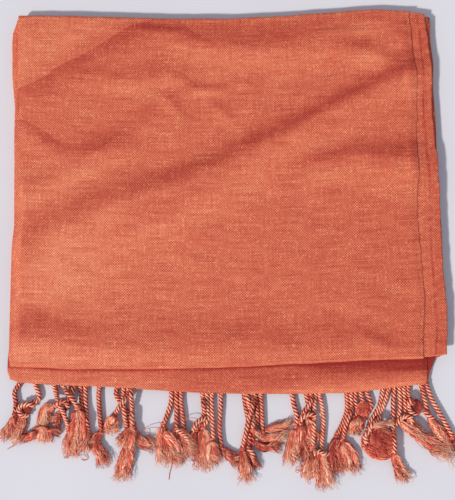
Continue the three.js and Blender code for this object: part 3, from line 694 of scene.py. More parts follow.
def cloth_object(name, section, rings, tone, lay=None):
    """A closed shell through equal rings, with the cloth's own lengths as its texture map. The
    undersides of the leaves get painted shade."""
    count, size = rings.shape[:2]
    # painted shade on the undersides of the leaves
    tone = tone + 0.3 * np.broadcast_to(section.beneath, (count, size))
    flat = rings.reshape(-1, 3)
    j, i = np.meshgrid(np.arange(count - 1), np.arange(size), indexing="ij")
    a = (j * size + i).ravel()
    b = (j * size + (i + 1) % size).ravel()
    faces = np.stack([a, b, b + size, a + size], axis=1).tolist()
    last = (count - 1) * size
    for p, q, r in section.caps():
        faces.append((p, r, q))
        faces.append((last + p, last + q, last + r))
    run = np.linalg.norm(np.diff(rings, axis=0), axis=2)
    run = np.vstack([np.zeros(size), np.cumsum(run, axis=0)])
    middle = run[:, [size // 8]]
    uv = np.stack([rings[:, :, 0], 0.35 * run + 0.65 * middle], axis=2).reshape(-1, 2) / 1000.0
    if signed_volume(flat, faces) < 0:
        faces = [tuple(reversed(f)) for f in faces]
    return make_object(name, put(flat), faces, CLOTH, uv=uv, tone=tone, lay=lay)


def signed_volume(points, faces):
    """A number below 0 where a shell's faces look inwards."""
    total = 0.0
    quads = np.array([f for f in faces if len(f) == 4])
    for tri in (quads[:, [0, 1, 2]], quads[:, [0, 2, 3]]):
        a, b, c = points[tri[:, 0]], points[tri[:, 1]], points[tri[:, 2]]
        total += float(np.einsum("ij,ij->i", a, np.cross(b, c)).sum())
    return total


def falls(relief, x, y):
    """How steeply a relief falls away towards the far side, cut off at a steep fold's slope."""
    ahead = relief(x + 0.30, y + 0.95)
    return np.clip(relief(x, y) - ahead, -0.055, 0.5)


def patch_shade(x, y):
    """The soft patches of painted shade and light, and painted shade growing towards the selvages."""
    total = 0.01 + 0.00035 * x
    for (cx, cy), long, wide, angle, darker in PATCHES:
        c, s = math.cos(math.radians(angle)), math.sin(math.radians(angle))
        along = ((x - cx) * c + (y - cy) * s) / long
        across = ((y - cy) * c - (x - cx) * s) / wide
        total = total + darker * np.exp(-(along**2) ** 1.5 - across**2)
    return total


def pressed_lines(x, y):
    """Of points: how far on the near side of a pressed line they are, and how much redder its painted
    shade makes them there.
    """
    side, redder = np.zeros(x.shape), np.zeros(x.shape)
    for stops, reach, most in PRESSED:
        far, beyond, _ = from_line(spline(stops, 3.0), x, y)
        here = most * np.exp(-far / reach)
        side = np.where(here > redder, np.where(beyond, -far, far), side)
        redder = np.maximum(here, redder)
    return np.stack([side, redder, np.zeros(x.shape)], axis=-1)


def top_cloth():
    """The top panel with its front and back folds, as rings from the part tucked under the front
    fold to the end of the back fold."""
    section = Section(outer=196, under=60, lower=36, bend=7)
    zones = [("tuck", t) for t in (TUCK, 12.0, 5.0)]
    zones += [("front", a) for a in np.linspace(180, 18, 10)]
    first = len(zones)
    zones += [("top", k / TOP_ROWS) for k in range(TOP_ROWS + 1)]
    last = len(zones)
    zones += [("back", a) for a in np.linspace(15, 180, 12)]
    rings, tones = [], []
    for zone, value in zones:
        run = value if zone == "top" else float(zone == "back")
        nominal = TOP_FRONT + TOP_DEPTH * run
        fray = 0.35 * ripple(np.array([nominal]), np.array([0.0]), 16, 11)[0]
        right = np.where(
            section.owner == LOWER,
            follow(LOWER_SELVAGE, nominal) - fray,
            follow(UPPER_SELVAGE, nominal) + fray,
        )
        left = follow(LEFT_FOLD, nominal) + section.inset
        x = left + (right - left) * section.share
        front = follow(FRONT_FOLD, x) + 0.25 * ripple(x, 0 * x, 22, 5)
        back = follow(BACK_FOLD, x) + 0.25 * ripple(x, 0 * x, 24, 6)
        front_y, back_y = front + FRONT_NOSE_R, back - BACK_NOSE_R
        tone = np.zeros(len(x))
        if zone == "tuck":
            y = front_y + value
            z = STACK_TOP - 2 * FRONT_NOSE_R + section.depth
        elif zone == "top":
            y = front_y + (back_y - front_y) * value
            z = STACK_TOP - section.depth
            edge = np.where(section.owner == UPPER, 1 - smooth((right - x) / 7), 0)
            drop = np.minimum(SELVAGE_DROP + 0.2 * ripple(y, 0 * y, 36, 18), MOST_DROP)
            z = z - np.where(section.depth == 0, drop, LOWER_DROP) * edge
            z = z + PUCKER * ripple(x, y, 8, 44) * np.exp(-(((right - x) / 9) ** 2))
        else:
            sign = -1.0 if zone == "front" else 1.0
            nose = FRONT_NOSE_R if sign < 0 else BACK_NOSE_R
            angle = math.radians(value)
            radius = nose - section.depth
            y = (front_y if sign < 0 else back_y) + sign * radius * math.sin(angle)
            z = STACK_TOP - nose + radius * math.cos(angle)
            # painted shade on the underside of the front fold, where it meets the band
            if sign < 0:
                tone = tone + 0.4 * smooth((value - 80) / 50)
        rings.append(np.stack([x, y, z], axis=1))
        tones.append(tone)
    rings, tones = np.array(rings), np.array(tones)
    leaves = section.owner != FOLD
    face = rings[first:last, leaves]
    x, y = face[:, :, 0], face[:, :, 1]
    rings[first:last, leaves, 2] += top_relief(x, y)
    # painted shade: redder where the cloth falls away towards the far side, away from the light, less
    # on the lower leaf's strip
    slope_shade = FALL_SHADE * falls(top_relief, x, y) * np.where(section.owner[leaves] == LOWER, 0.4, 1.0)
    tones[first:last, leaves] += slope_shade + patch_shade(x, y)
    lower, upper = section.owner == LOWER, section.owner == UPPER
    # the lower leaf's strip: its stitched line, and the painted shadow that the upper leaf's selvage
    # casts beside it
    x, y = rings[first:last, lower, 0], rings[first:last, lower, 1]
    inside = follow(LOWER_SELVAGE, y) - x
    line_at = STITCH_AT - STITCH_SLANT * y
    line = np.exp(-(((inside - line_at) / STITCH_WIDTH) ** 2))
    lines = (0.22 + 0.14 * ripple(y, 0, 30, 17)) * line
    tones[first:last, lower] += 0.03 * smooth((line_at - inside) / 2) + lines - 0.01
    shaded = x - follow(UPPER_SELVAGE, y)
    tones[first:last, lower] += 0.10 * (1 - smooth(shaded / 1.8)) + 0.07 * ripple(x, y, 6, 61)
    # painted shade along the upper leaf's selvage edge
    x, y = rings[first:last, upper, 0], rings[first:last, upper, 1]
    selvage_edge_shade = 0.04 + 0.12 * ripple(y, 0, 34, 62)
    tones[first:last, upper] += selvage_edge_shade * np.exp(-(((follow(UPPER_SELVAGE, y) - x) / 1.3) ** 2))
    sides = pressed_lines(rings[:, :, 0], rings[:, :, 1]) * (section.depth == 0)[None, :, None]
    return cloth_object("top_cloth", section, rings, tones, sides)


def top_relief(x, y):
    """The rise of the top's creases and waves, which is 0 at its folds."""
    from_front = smooth((y - follow(FRONT_FOLD, x) - FRONT_NOSE_R) / 9)
    from_back = smooth((follow(BACK_FOLD, x) - BACK_NOSE_R - y) / 9)
    from_left = smooth((x - follow(LEFT_FOLD, y) - 1) / 9)
    waves = 0.20 + 0.13 * ripple(x, y, 34, 21) + 0.045 * ripple(x, y, 11, 22)
    return (crease_height(CREASES, x, y) + waves) * from_front * from_back * from_left


def band_relief(x, y):
    """The rise of the band's creases and waves, which is 0 under the front fold."""
    clear = smooth((follow(FRONT_FOLD, x) - 2.5 - y) / 7)
    waves = 0.10 + 0.08 * ripple(x, y, 26, 33)
    return (crease_height(BAND_CREASES, x, y) * smooth((y - follow(HEM, x)) / 4) + waves) * clear


def band_cloth():
    """The fringed end, of which a band shows below the front fold."""
    section = Section(outer=210, under=80, lower=60, bend=7)
    rings, tones = [], []
    for run in np.concatenate([[0, 0.25, 0.45], np.linspace(0.55, 1, 40)]):
        nominal = BAND_START + (BAND_FRONT - BAND_START) * run
        left = follow(BAND_LEFT, nominal) + section.inset
        lip_reach = np.where(section.owner == LOWER, follow(BAND_LIP, nominal), 0.0)
        right = follow(BAND_RIGHT, nominal) + lip_reach
        x = left + (right - left) * section.share
        hem = follow(HEM, x) + 0.2 * ripple(x, 0 * x, 9, 31)
        y = BAND_START + (hem - BAND_START) * run
        droop = -BAND_DROOP * smooth((hem + 14 - y) / 14)
        rise = band_relief(x, y)
        edge = np.where(section.owner == UPPER, 1 - smooth((right - x) / 5), 0)
        z = BAND_TOP - section.depth + droop + np.where(section.owner == UPPER, rise, 0.0)
        z = z - np.where(section.depth == 0, SELVAGE_DROP, LOWER_DROP) * edge
        rings.append(np.stack([x, y, z], axis=1))
        # painted shade under the front fold, deeper and wider towards the right, and a little redder
        # across the band's middle
        nearer = smooth((x - 42) / 50)
        below = np.maximum(follow(FRONT_FOLD, x) - y, 0)
        deep = 0.44 + 0.12 * ripple(x, 0 * x, 60, 35) + 0.22 * nearer
        shade_under_fold = deep * np.exp(-((below / (1.9 + 3.9 * nearer)) ** 2))
        shade_under_fold = shade_under_fold + 0.11 * smooth((x + 80) / 60) * smooth((80 - x) / 60)
        hem_light = -0.05 * np.exp(-(((y - hem - 1.0) / 1.6) ** 2))
        # painted shade on the lower leaf's lip at the right and along the upper leaf's right edge
        lip_shade = 0.12 * np.where(section.owner == LOWER, smooth((x - 150) / 10), 0.0)
        lip_shade = lip_shade + 0.10 * np.exp(-(((x - follow(BAND_RIGHT, nominal) - 0.4) / 1.0) ** 2))
        # painted shade where the band falls away from the light, and more painted shade towards the
        # right
        tones.append(FALL_SHADE * falls(band_relief, x, y) + shade_under_fold + hem_light + 0.0002 * x + lip_shade)
    return cloth_object("end_cloth", section, np.array(rings), np.array(tones))


def serpentine(name, panel, leaf, legs, seed):
    """Hidden panels as one folded cloth: legs are (top of the panel, whether it runs backwards, its
    front end, its back end), each joined to the next by a nose at the back or at the front."""
    section = Section(outer=34, under=34, lower=34, bend=5, panel=panel, leaf=leaf)
    rings = []
    nose = panel + (legs[0][0] - legs[1][0] - panel) / 2
    for index, (top_at, going_back, front_of, back_of) in enumerate(legs):
        runs = np.linspace(0, 1, HIDDEN_ROWS + 1)
        if not going_back:
            runs = runs[::-1]
        flipped = index % 2 == 1
        level = top_at - panel + section.depth if flipped else top_at - section.depth
        for run in runs:
            rings.append(hidden_ring(section, run, level, front_of, back_of, seed + index))
        if index + 1 == len(legs):
            break
        out = 1.0 if going_back else -1.0
        radius = nose - panel + section.depth if flipped else nose - section.depth
        for angle in np.radians([30, 60, 90, 120, 150]):
            ring = hidden_ring(section, runs[-1], level, front_of, back_of, seed + index)
            ring[:, 1] = ring[:, 1] + out * radius * math.sin(angle)
            ring[:, 2] = top_at - nose + radius * math.cos(angle)
            rings.append(ring)
    rings = np.array(rings)
    # painted shade: the hidden layers are redder, fading out at the far left edge
    return cloth_object(name, section, rings, HIDDEN_SHADE * smooth((rings[:, :, 0] + 176) / 10))


def hidden_ring(section, run, level, front_of, back_of, seed):
    """One ring of a hidden panel, at a share of the way from its front end to its back end."""
    nominal = HIDDEN_FRONT + HIDDEN_DEPTH * run
    wave = ripple(np.array([nominal]), np.array([0.0]), 60, seed)[0]
    fray = ripple(np.array([nominal]), np.array([3.0]), 18, seed + 50)[0]
    lower = section.owner == LOWER
    right = follow(STACK_RIGHT, nominal) - 1.2 + 0.9 * wave * np.where(lower, -1, 1) + 0.25 * fray
    right = right - np.where(lower, 0.0, 2.2 + 1.4 * wave)
    left = follow(STACK_LEFT, nominal) + 0.7 + 0.8 * wave + section.inset
    x = left + (right - left) * section.share
    y = front_of(x) + (back_of(x) - front_of(x)) * run
    return np.stack([x, y, level + 0.0 * x], axis=1)


# ---- fringe --------------------------------------------------------------------------------

class Laid:
    """Height already taken by laid cords, on a grid of 1 mm cells."""

    def __init__(self):
        self.x0, self.y0 = -205.0, -210.0
        self.cells = np.zeros((110, 415))

    def window(self, x, y, reach):
        """The cells within reach of a point."""
        deep, wide = self.cells.shape
        i0, i1 = int(x - reach - self.x0), int(x + reach - self.x0) + 2
        j0, j1 = int(y - reach - self.y0), int(y + reach - self.y0) + 2
        jj, ii = np.mgrid[max(j0, 0):min(j1, deep), max(i0, 0):min(i1, wide)]
        near = np.hypot(self.x0 + ii - x, self.y0 + jj - y) <= reach
        return jj[near], ii[near]

    def under(self, x, y, reach):
        cells = self.cells[self.window(x, y, reach)]
        return float(cells.max()) if cells.size else 0.0

    def lay(self, x, y, reach, top):
        where = self.window(x, y, reach)
        self.cells[where] = np.maximum(self.cells[where], top)

    def lay_along(self, path, z):
        """A cord whose middle lies at heights z."""
        for (x, y), top_at in zip(path, z + CORD_R):
            self.lay(x, y, CORD_R, top_at)


def spline(stops, spacing):
    """Evenly spaced points on a smooth curve through the stops."""
    p = np.array(stops, float)
    p = np.vstack([2 * p[0] - p[1], p, 2 * p[-1] - p[-2]])
    dense = []
    for k in range(1, len(p) - 2):
        t = np.linspace(0, 1, 24, endpoint=False)[:, None]
        a, b, c, d = p[k - 1], p[k], p[k + 1], p[k + 2]
        bent, bending = 2 * a - 5 * b + 4 * c - d, 3 * b - a - 3 * c + d
        dense.append(0.5 * (2 * b + (c - a) * t + bent * t**2 + bending * t**3))
    dense = np.vstack(dense + [p[-2][None]])
    far = run_of(dense)
    count = max(3, int(round(far[-1] / spacing)) + 1)
    want = np.linspace(0, far[-1], count)
    return np.stack([np.interp(want, far, dense[:, k]) for k in range(dense.shape[1])], axis=1)


def drape(path, laid, start_z):
    """Centre heights of a cord that lies over what is laid, falling off gently at both sides."""
    need = np.array([laid.under(x, y, CORD_R * 0.5) for x, y in path])
    step = np.linalg.norm(np.diff(path, axis=0), axis=1)
    need = need * smooth(np.concatenate([[0], np.cumsum(step)]) / 5.0)
    z = CORD_R + np.where(need > 0, need * 0.86 + 0.15, 0.35)
    z[0] = start_z
    for i in range(len(z) - 2, 0, -1):
        z[i] = max(z[i], z[i + 1] - 0.9 * step[i])
    for i in range(1, len(z)):
        z[i] = max(z[i], z[i - 1] - 0.45 * step[i - 1])
    kernel = np.array([0.1, 0.2, 0.4, 0.2, 0.1])
    padded = np.concatenate([[z[0], z[0]], z, [z[-1], z[-1]]])
    eased = np.convolve(padded, kernel, mode="valid")
    eased[0] = start_z
    return np.maximum(eased, CORD_R * 0.8 + 0.25)


class Tubes:
    """Collects many tubes into one mesh, with a tone and a lay for each vertex."""

    def __init__(self, seed):
        self.vertices, self.faces, self.tones, self.lays = [], [], [], []
        self.count = 0
        self.rng = np.random.default_rng(seed)

    def add(self, centre, radii, sides, tone, squash=1.0, top_light_and_under_shade=0.0):
        """tone is a number, a row of numbers along the tube, or a function of the tube's points.
        Painted light raises it on the tube's top, and painted shade lowers it by as much on its
        underside, by the last argument."""
        centre = np.asarray(centre, float)
        n = len(centre)
        radii = np.broadcast_to(radii, (n,))
        along = np.gradient(centre, axis=0)
        run = run_of(centre)
        along /= np.linalg.norm(along, axis=1)[:, None] + 1e-9
        side = np.cross([0.0, 0.0, 1.0], along)
        bad = np.linalg.norm(side, axis=1) < 0.05
        side[bad] = [1.0, 0.0, 0.0]
        side /= np.linalg.norm(side, axis=1)[:, None]
        up = np.cross(along, side)
        angle = np.arange(sides) * 2 * math.pi / sides
        right, rise = np.outer(radii, np.cos(angle)), np.outer(radii, np.sin(angle))
        ring = centre[:, None, :] + right[:, :, None] * side[:, None, :]
        ring = ring + squash * rise[:, :, None] * up[:, None, :]
        lay = np.stack([right, rise, np.repeat(run[:, None] * 0.07, sides, axis=1)], axis=2)
        self.lays.append((lay + self.rng.uniform(0, 90, 3)).reshape(-1, 3))
        self.vertices.append(ring.reshape(-1, 3))
        value = (tone(ring) if callable(tone) else np.reshape(tone, (-1, 1))) + top_light_and_under_shade * np.sin(angle)
        self.tones.append(np.broadcast_to(value, (n, sides)).ravel())
        base = self.count
        j, i = np.meshgrid(np.arange(n - 1), np.arange(sides), indexing="ij")
        a = base + (j * sides + i).ravel()
        b = base + (j * sides + (i + 1) % sides).ravel()
        self.faces.extend(np.stack([a, b, b + sides, a + sides], axis=1).tolist())
        self.faces.append([base + k for k in range(sides - 1, -1, -1)])
        self.faces.append([base + (n - 1) * sides + k for k in range(sides)])
        self.count += n * sides

    def build(self, name):
        return make_object(
            name, put(np.vstack(self.vertices)), self.faces, YARN,
            tone=np.concatenate(self.tones), lay=np.vstack(self.lays),
        )


def frames(path):
    """Directions at each point of a path: ahead, to the side, and up."""
    along = np.gradient(path, axis=0)
    along /= np.linalg.norm(along, axis=1)[:, None] + 1e-9
    side = np.cross([0.0, 0.0, 1.0], along)
    side /= np.linalg.norm(side, axis=1)[:, None] + 1e-9
    return along, side, np.cross(along, side)


def twist(twisted, path, dark, rng):
    """Plies wound round a path."""
    along, side, up = frames(path)
    run = run_of(path)
    phase = rng.uniform(0, 2 * math.pi)
    pitch = TWIST_PITCH * rng.uniform(0.92, 1.1)

    # the cord's dye, with painted shade in the grooves between the plies and on the undersides, and
    # painted light on top
    def dye_and_shade(ring):
        away = ring - path[:, None, :]
        far = np.linalg.norm(away, axis=2)
        return 0.93 - 0.30 * dark + 0.08 * away[:, :, 2] - 2.4 * np.clip(CORD_R - far - 0.05, 0, 0.5)

    for ply in range(PLIES):
        turn = phase + 2 * math.pi * (ply / PLIES - run / pitch)
        offset = CORD_R - PLY_R
        centre = path + offset * (np.cos(turn)[:, None] * side + np.sin(turn)[:, None] * up)
        centre[:, 2] = np.maximum(centre[:, 2], PLY_R * 0.9 + 0.1)
        twisted.add(centre, PLY_R, 8, dye_and_shade)


def lay_coil(dark, stops, laid, twisted, rng):
    """Cord that rests on what is laid."""
    flat = spline(stops, CORD_STEP)
    need = np.array([laid.under(x, y, 1.0) for x, y in flat])
    need = np.convolve(np.pad(need, 4, mode="edge"), np.ones(9) / 9, mode="valid")
    z = CORD_R + 0.15 + 0.72 * need
    z -= 1.3 * np.abs(np.linspace(-1, 1, len(z))) ** 4 * (need > 1)
    twist(twisted, np.column_stack([flat, z]), dark, rng)
    laid.lay_along(flat, z)


def lay_cord(cord, hem_z, laid, twisted, frayed, rng):
    """One row of CORDS: the cord, its knot and its tassel, from the hem's height down over what is
    laid."""
    _, root, bend_a, bend_b, knot, middle, tip, fan, dark = cord
    knot, middle, tip = np.array(knot, float), np.array(middle, float), np.array(tip, float)
    heading = (middle - knot) / np.linalg.norm(middle - knot)
    start = np.array([root, float(follow(HEM, root)) + 1.2])
    flat = spline([start, bend_a, bend_b, knot, knot + heading * 2.2], CORD_STEP)
    z = drape(flat, laid, hem_z)
    path = np.column_stack([flat, z])
    twist(twisted, path, dark, rng)
    add_knot(twisted, path, heading, rng, dark)
    if fan > 0:
        add_tassel(frayed, path[-1], middle, tip, fan, dark, laid, rng)
    laid.lay_along(flat, z)


def add_knot(twisted, path, heading, rng, dark):
    """Two yarns wound round the cord and pulled tight."""
    centre = path[-4]
    axis = np.array([heading[0], heading[1], 0.0])
    side = np.array([-heading[1], heading[0], 0.0])
    up = np.array([0.0, 0.0, 1.0])
    t = np.linspace(0, 1, 30)
    begin = rng.uniform(0, ROUND)
    for yarn in (-0.6, 0.6):
        turn = begin + yarn * 0.5 + t * 2 * math.pi * KNOT_TURNS
        radius = KNOT_R * np.sin(math.pi * np.clip(t * 0.86 + 0.07, 0, 1)) ** 0.4
        loop = (
            centre
            + ((t - 0.5) * KNOT_LENGTH + yarn)[:, None] * axis
            + (radius * np.cos(turn))[:, None] * side * 1.15
            + (radius * np.sin(turn))[:, None] * up
        )
        loop[:, 2] = np.maximum(loop[:, 2], 1.0)

        # the yarn's dye, with painted shade deep inside the knot
        def dye_and_shade(ring):
            far = np.linalg.norm(ring - centre, axis=2)
            return 0.86 - 0.3 * dark - 0.8 * np.clip((2.9 - far) / 1.4, 0, 1)

        twisted.add(loop, KNOT_YARN_R, 7, dye_and_shade)


def add_tassel(frayed, start, middle, tip, fan, dark, laid, rng):
    """Frayed yarn below the knot: soft locks of fine strands along a bent line, settled on the
    surface."""
    line = spline([start[:2], middle, tip], 1.0)
    run = np.linspace(0, 1, TASSEL_STOPS)
    share = np.linspace(0, 1, len(line))
    line = np.column_stack([np.interp(run, share, line[:, k]) for k in (0, 1)])
    length = float(np.linalg.norm(np.diff(line, axis=0), axis=1).sum())
    ahead = np.gradient(line, axis=0)
    ahead /= np.linalg.norm(ahead, axis=1)[:, None]
    left = np.column_stack([-ahead[:, 1], ahead[:, 0]])
    under = np.array([laid.under(x, y, 1.6) for x, y in line])
    floor = np.where(under > 0, under * 0.8, 0.0)
    floor[0] = max(floor[0], start[2] - 1.8)
    for i in range(1, TASSEL_STOPS):
        floor[i] = max(floor[i], floor[i - 1] - 0.7 * length / (TASSEL_STOPS - 1))
    padded = np.concatenate([[floor[0]], floor, [floor[-1]]])
    floor = np.convolve(padded, [0.25, 0.5, 0.25], mode="valid")
    gather_over = 3.2 / length
    locks = max(3, round(fan / 2.2))
    broad = 0.52 * fan / locks + 0.62
    per_lock = round(STRANDS * (0.62 + 0.038 * fan) / locks)

    columns = [*line.T, *ahead.T, *left.T, floor]

    def place(t, sideways, rise):
        """Points at shares of the tassel's length, so far to its side and above the surface."""
        over = np.maximum(t - 1, 0) * length
        x, y, dx, dy, nx, ny, base = (np.interp(np.clip(t, 0, 1), run, c) for c in columns)
        x, y = x + dx * over + nx * sideways, y + dy * over + ny * sideways
        return np.column_stack([x, y, base + rise])

    for lock in range(locks):
        lane = ((lock + 0.5) / locks * 2 - 1 + rng.uniform(-0.2, 0.2)) * fan * 0.5
        reach = rng.uniform(0.86, 1.04) * (1 - 0.010 * abs(lane))
        girth = broad * rng.uniform(0.85, 1.3)
        sway, sway_wave, sway_at = rng.uniform(0.3, 1.6), rng.uniform(10, 20), rng.uniform(0, ROUND)
        swirl, lift = rng.uniform(-1.5, 1.5), rng.uniform(0.0, 1.4)
        lock_tone = 0.54 - 0.34 * dark + rng.uniform(-0.2, 0.2)
        bands, bands_at = rng.integers(2, 5), rng.uniform(0, ROUND)
        curl = 0.36 + 0.50 * (1 - dark)

        def shape(t):
            """Of points at shares of the tassel's length: the lock's sideways place, its width, and
            how far the knot has let go of it."""
            gather = smooth(t / gather_over + 0.3)
            swell = 0.70 + 0.42 * np.sin(math.pi * np.clip(t * 0.8 + 0.1, 0, 1)) + 0.25 * t**3
            waves = sway * t * np.sin(2 * math.pi * t * length / sway_wave + sway_at)
            spread = lane * (0.42 + 0.58 * np.clip(t, 0, 2) ** 0.8)
            return gather * (spread + waves), girth * swell, gather

        t = np.linspace(0, reach * 0.92, 14)
        lane_at, width, _ = shape(t)
        core_r = 0.96 * width * np.interp(t / t[-1], [0, 0.1, 0.65, 1], [0.75, 1, 0.85, 0.2])
        body = place(t, lane_at, 0.2 + lift * (1 - 0.6 * t) + width * 0.9)
        body[:, 2] = np.maximum(body[:, 2], core_r * 0.8 + 0.05)
        # painted light: the lock's core is lighter towards the tips, with painted light on its top and
        # painted shade underneath
        frayed.add(body, core_r, 12, lock_tone - 0.08 + 0.28 * t, 0.85, 0.22)
        for strand in range(per_lock):
            stray = strand % 16 == 0
            t = reach * rng.uniform(0.82, 1.1) * np.linspace(0, 1, TASSEL_STOPS)
            lane_at, width, gather = shape(t)
            out = math.sqrt(rng.uniform(0.72, 1.12)) * (1.4 if stray else 1.0) * (1 + 0.4 * t**3)
            below = rng.uniform() < 0.3
            at = rng.uniform(0, 2 * math.pi) if below else rng.uniform(-0.3, math.pi + 0.3)
            crimp, crimp_wave = rng.uniform(0.05, curl), rng.uniform(4, 8)
            crimp_at = rng.uniform(0, ROUND)
            astray = rng.normal(0, 0.035) * (1 + 0.05 * fan) * length * t**1.5
            wriggle = 2 * math.pi * t * length / crimp_wave + crimp_at
            turn = at + swirl * 2 * math.pi * t
            sideways = lane_at + gather * out * width * np.cos(turn)
            sideways = sideways + crimp * (0.5 + t) * np.sin(wriggle)
            sideways = sideways + np.clip(astray, -4, 4)
            rise = 0.2 + lift * (1 - 0.6 * t) + width * (0.9 + 0.9 * out * np.sin(turn))
            rise = rise + crimp * (0.5 + t) * np.cos(wriggle)
            thickness = rng.uniform(0.12, 0.18) if stray else rng.uniform(0.20, 0.36)
            points = place(t, sideways, rise)
            points[:, 2] = np.maximum(points[:, 2], thickness)
            radii = thickness * np.interp(t / t[-1], [0, 0.08, 0.8, 1], [0.9, 1, 0.85, 0.35])
            # the strand's dye with painted light: lighter on top of the lock, painted glints on some
            # strands, and lighter towards the tips, besides random tone and bands
            crest = np.clip(np.sin(turn), -0.6, 1)
            glint = 0.24 * crest if rng.uniform() < 0.25 else 0.0
            shade = lock_tone + 0.24 * crest + 0.13 * math.sin(bands * at + bands_at) + glint
            shade = shade + rng.uniform(-0.10, 0.10) + 0.30 * np.clip(t, 0, 1.1) ** 1.6
            frayed.add(points, radii, 3, shade, 1.0, 0.18)
    for (x, y), top in zip(line, floor):
        laid.lay(x, y, fan * 0.30 + 0.8, top + 3.0)


def add_ball(frayed, ball, laid, rng):
    """Yarn gathered into a flat ball: a soft body wound over with strands from end to end."""
    _, (cx, cy), long, wide, angle, dark = ball
    c, s = math.cos(math.radians(angle)), math.sin(math.radians(angle))
    high = 0.26 * wide + 1.3
    centre = np.array([cx, cy, high + 0.1])

    def wound(turn, scale, t, tilt):
        """Round the ball from end to end, on lines turned by the tilt."""
        ahead, left = -scale * np.cos(t), scale * np.sin(t) ** 0.8 * np.cos(turn)
        ahead, left = (
            ahead * math.cos(tilt) - left * math.sin(tilt),
            ahead * math.sin(tilt) + left * math.cos(tilt),
        )
        rise = high * scale * np.sin(t) ** 0.8 * np.sin(turn)
        ahead, left = long * ahead, wide * left
        return centre + np.column_stack([ahead * c - left * s, ahead * s + left * c, rise])

    t = np.linspace(0.03, 0.97, 22) * math.pi
    spine = centre + (-0.95 * long * np.cos(t))[:, None] * np.array([c, s, 0.0])
    frayed.add(spine, 0.93 * wide * np.sin(t) ** 0.8, 28, 0.42 - 0.22 * dark, high / wide)
    for _ in range(int(12 * wide + 40)):
        turn = rng.uniform(-0.25, math.pi + 0.25)
        t = np.linspace(rng.uniform(0.04, 0.35), rng.uniform(0.65, 0.96), 15) * math.pi
        drift = np.linspace(-1, 1, 15) * rng.uniform(-0.5, 0.5)
        points = wound(turn + drift, rng.uniform(0.95, 1.05), t, rng.normal(0, 0.45))
        points[:, 2] = np.maximum(points[:, 2], 0.3)
        # painted light: the ball's strands are lighter low on its rim
        rim_light = np.clip(1.15 - (points[:, 2] - centre[2]) / high, 0, 1)
        shade = 0.44 - 0.22 * dark + 0.36 * rim_light + rng.uniform(-0.2, 0.24)
        frayed.add(points, rng.uniform(0.14, 0.30), 4, shade)
    for x in np.arange(cx - long, cx + long + 1, 1.0):
        for y in np.arange(cy - long, cy + long + 1, 1.0):
            along = ((x - cx) * c + (y - cy) * s) / long
            across = ((y - cy) * c - (x - cx) * s) / wide
            far = along**2 + across**2
            if far < 1:
                laid.lay(x, y, 0.7, high * (1 + math.sqrt(1 - far)))


def add_threads(frayed, rng):
    """Loose single threads, and curled tips that lie loose on the surface."""
    for stops in THREADS:
        frayed.add(spline(stops, 1.0), 0.26, 5, 0.55)
    for (cx, cy), wide, count in CURLS:
        for _ in range(count):
            x, y = cx + wide * rng.normal(0, 0.55), cy + wide * rng.normal(0, 0.55)
            turn = rng.uniform(0, ROUND) + np.linspace(0, rng.uniform(2.2, 5.5), 16)
            radius = rng.uniform(1.3, 3.6) * np.linspace(1, rng.uniform(0.6, 1.3), 16)
            high = 0.4 + rng.uniform(0.3, 2.2) * np.sin(np.linspace(0, math.pi, 16))
            line = np.column_stack([x + radius * np.cos(turn), y + radius * np.sin(turn), high])
            frayed.add(line, rng.uniform(0.16, 0.26), 4, 0.62 + rng.uniform(-0.2, 0.3))


def build_fringe():
    """Twisted cords and frayed tassels of both leaves, each leaf's in three pieces."""
    laid = Laid()
    made = {}
    for leaf, hem_z in ((0, 3.4), (1, 3.9)):
        rng = np.random.default_rng(40 + leaf)
        twisted = Tubes(60 + leaf)
        frayed = [Tubes(70 + leaf), Tubes(80 + leaf)]
        for ball in BALLS:
            if ball[0] == leaf:
                add_ball(frayed[ball[1][0] > 0], ball, laid, rng)
        for cord in CORDS:
            if cord[0] == leaf:
                lay_cord(cord, hem_z, laid, twisted, frayed[cord[1] > 0], rng)
        if leaf:
            for start, middle, tip, fan, dark in LOOSE:
                add_tassel(frayed[start[0] > 0], np.array(start), middle, tip, fan, dark, laid, rng)
            for dark, stops in COILS:
                lay_coil(dark, stops, laid, twisted, rng)
            add_threads(frayed[0], rng)
        kind = ("lower", "upper")[leaf]
        made[leaf] = [
            twisted.build(kind + "_cords"),
            frayed[0].build(kind + "_tassels_left"),
            frayed[1].build(kind + "_tassels_right"),
        ]
    return made


# ---- the scarf -----------------------------------------------------------------------------

def back_inner(x):
    return follow(BACK_FOLD, x) - INNER_BACK - FRONT_NOSE_R


def front_inner(x):
    return BAND_START + INNER_FRONT + 0.0 * x


def back_under(x):
    return follow(BACK_FOLD, x) - UNDER_BACK


def front_under(x):
    """The front ends of the lowest panels, which lie further back at the selvages."""
    return follow(FRONT_FOLD, x) - UNDER_FRONT + 4.5 * smooth((x - 150) / 20)


top = top_cloth()
end = band_cloth()
inner = serpentine(
    "inner_cloth", PANEL, LEAF,
    [(UPPER_TOP, True, front_inner, back_inner), (BAND_TOP, False, front_inner, back_inner)], 71,
)
under = serpentine(
    "under_cloth", UNDER_PANEL, UNDER_LEAF,
    [
        (LOWER_TOP, False, front_under, back_under),
        (LOWER_TOP - UNDER_STEP, True, front_under, back_under),
        (LOWER_TOP - 2 * UNDER_STEP, False, lambda x: front_under(x) + 6, back_under),
    ],
    81,
)
fringe = build_fringe()

for piece, node, slot_name in (
    (top, "top_panel", "cloth_top"),
    (end, "end_panel", "cloth_end"),
    (inner, "inner_layers", "cloth_inner"),
    (under, "under_layers", "cloth_under"),
    *((piece, "fringe_upper", "fringe_upper") for piece in fringe[1]),
    *((piece, "fringe_lower", "fringe_lower") for piece in fringe[0]),
):
    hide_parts(node)
    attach(piece, "root")


# ---- floor, light, camera ------------------------------------------------------------------

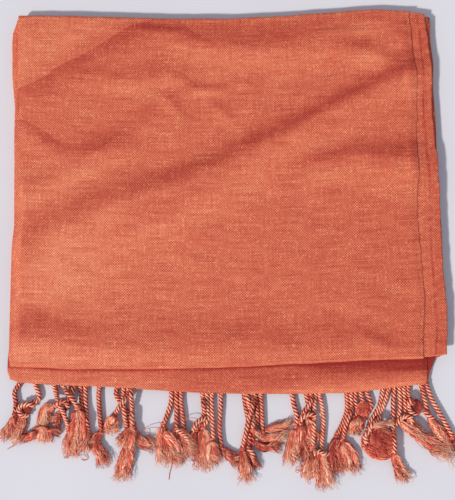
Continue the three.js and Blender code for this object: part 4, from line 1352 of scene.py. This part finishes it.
def floor_material():
    n = Nodes("pale_floor", 0.6)
    where = n.node("ShaderNodeTexCoord").outputs["Object"]
    tone = n.noise(where, 9.0, 2.0, 0.5)
    n.link(n.mix(tone, rgb(214, 214, 222), rgb(224, 224, 230)), n.shader.inputs["Base Color"])
    return n.material


HALF_FLOOR = 9.0
corners = [(HALF_FLOOR * x, HALF_FLOOR * y, 0) for x, y in ((-1, -1), (1, -1), (1, 1), (-1, 1))]
floor_mesh = bpy.data.meshes.new("floor")
floor_mesh.from_pydata(corners, [], [(0, 1, 2, 3)])
floor_mesh.materials.append(floor_material())
floor = bpy.data.objects.new("floor", floor_mesh)
floor.location.z = -0.0002
bpy.context.scene.collection.objects.link(floor)

world = bpy.data.worlds.new("soft_room")
bpy.context.scene.world = world
world.use_nodes = True
background = world.node_tree.nodes["Background"]
background.inputs["Color"].default_value = (0.80, 0.83, 0.95, 1.0)
background.inputs["Strength"].default_value = 0.50

KEY_ELEVATION = math.radians(40)
KEY_HEADING = math.radians(180 + 46)
key_data = bpy.data.lights.new("key", "SUN")
key_data.energy = 3.0
key_data.angle = math.radians(5)
key_data.color = (1.0, 0.95, 0.88)
key = bpy.data.objects.new("key", key_data)
bpy.context.scene.collection.objects.link(key)
key.rotation_euler = (math.pi / 2 - KEY_ELEVATION, 0.0, KEY_HEADING + math.pi / 2)

CAMERA_DISTANCE = 0.720
CAMERA_TILT = math.radians(8)
FOCAL_PX, FRAME_PX, SENSOR = 847.0, 500.0, 36.0
camera_data = bpy.data.cameras.new("camera")
camera_data.sensor_width = SENSOR
camera_data.lens = FOCAL_PX / FRAME_PX * SENSOR
camera_data.clip_start = 0.01
camera = bpy.data.objects.new("camera", camera_data)
aim = put([0, 0, 0])
camera.location = (
    aim[0],
    aim[1] - CAMERA_DISTANCE * math.sin(CAMERA_TILT),
    CAMERA_DISTANCE * math.cos(CAMERA_TILT),
)
camera.rotation_euler = (CAMERA_TILT, 0.0, 0.0)
bpy.context.scene.collection.objects.link(camera)
bpy.context.scene.camera = camera
bpy.context.scene.view_settings.view_transform = "Standard"
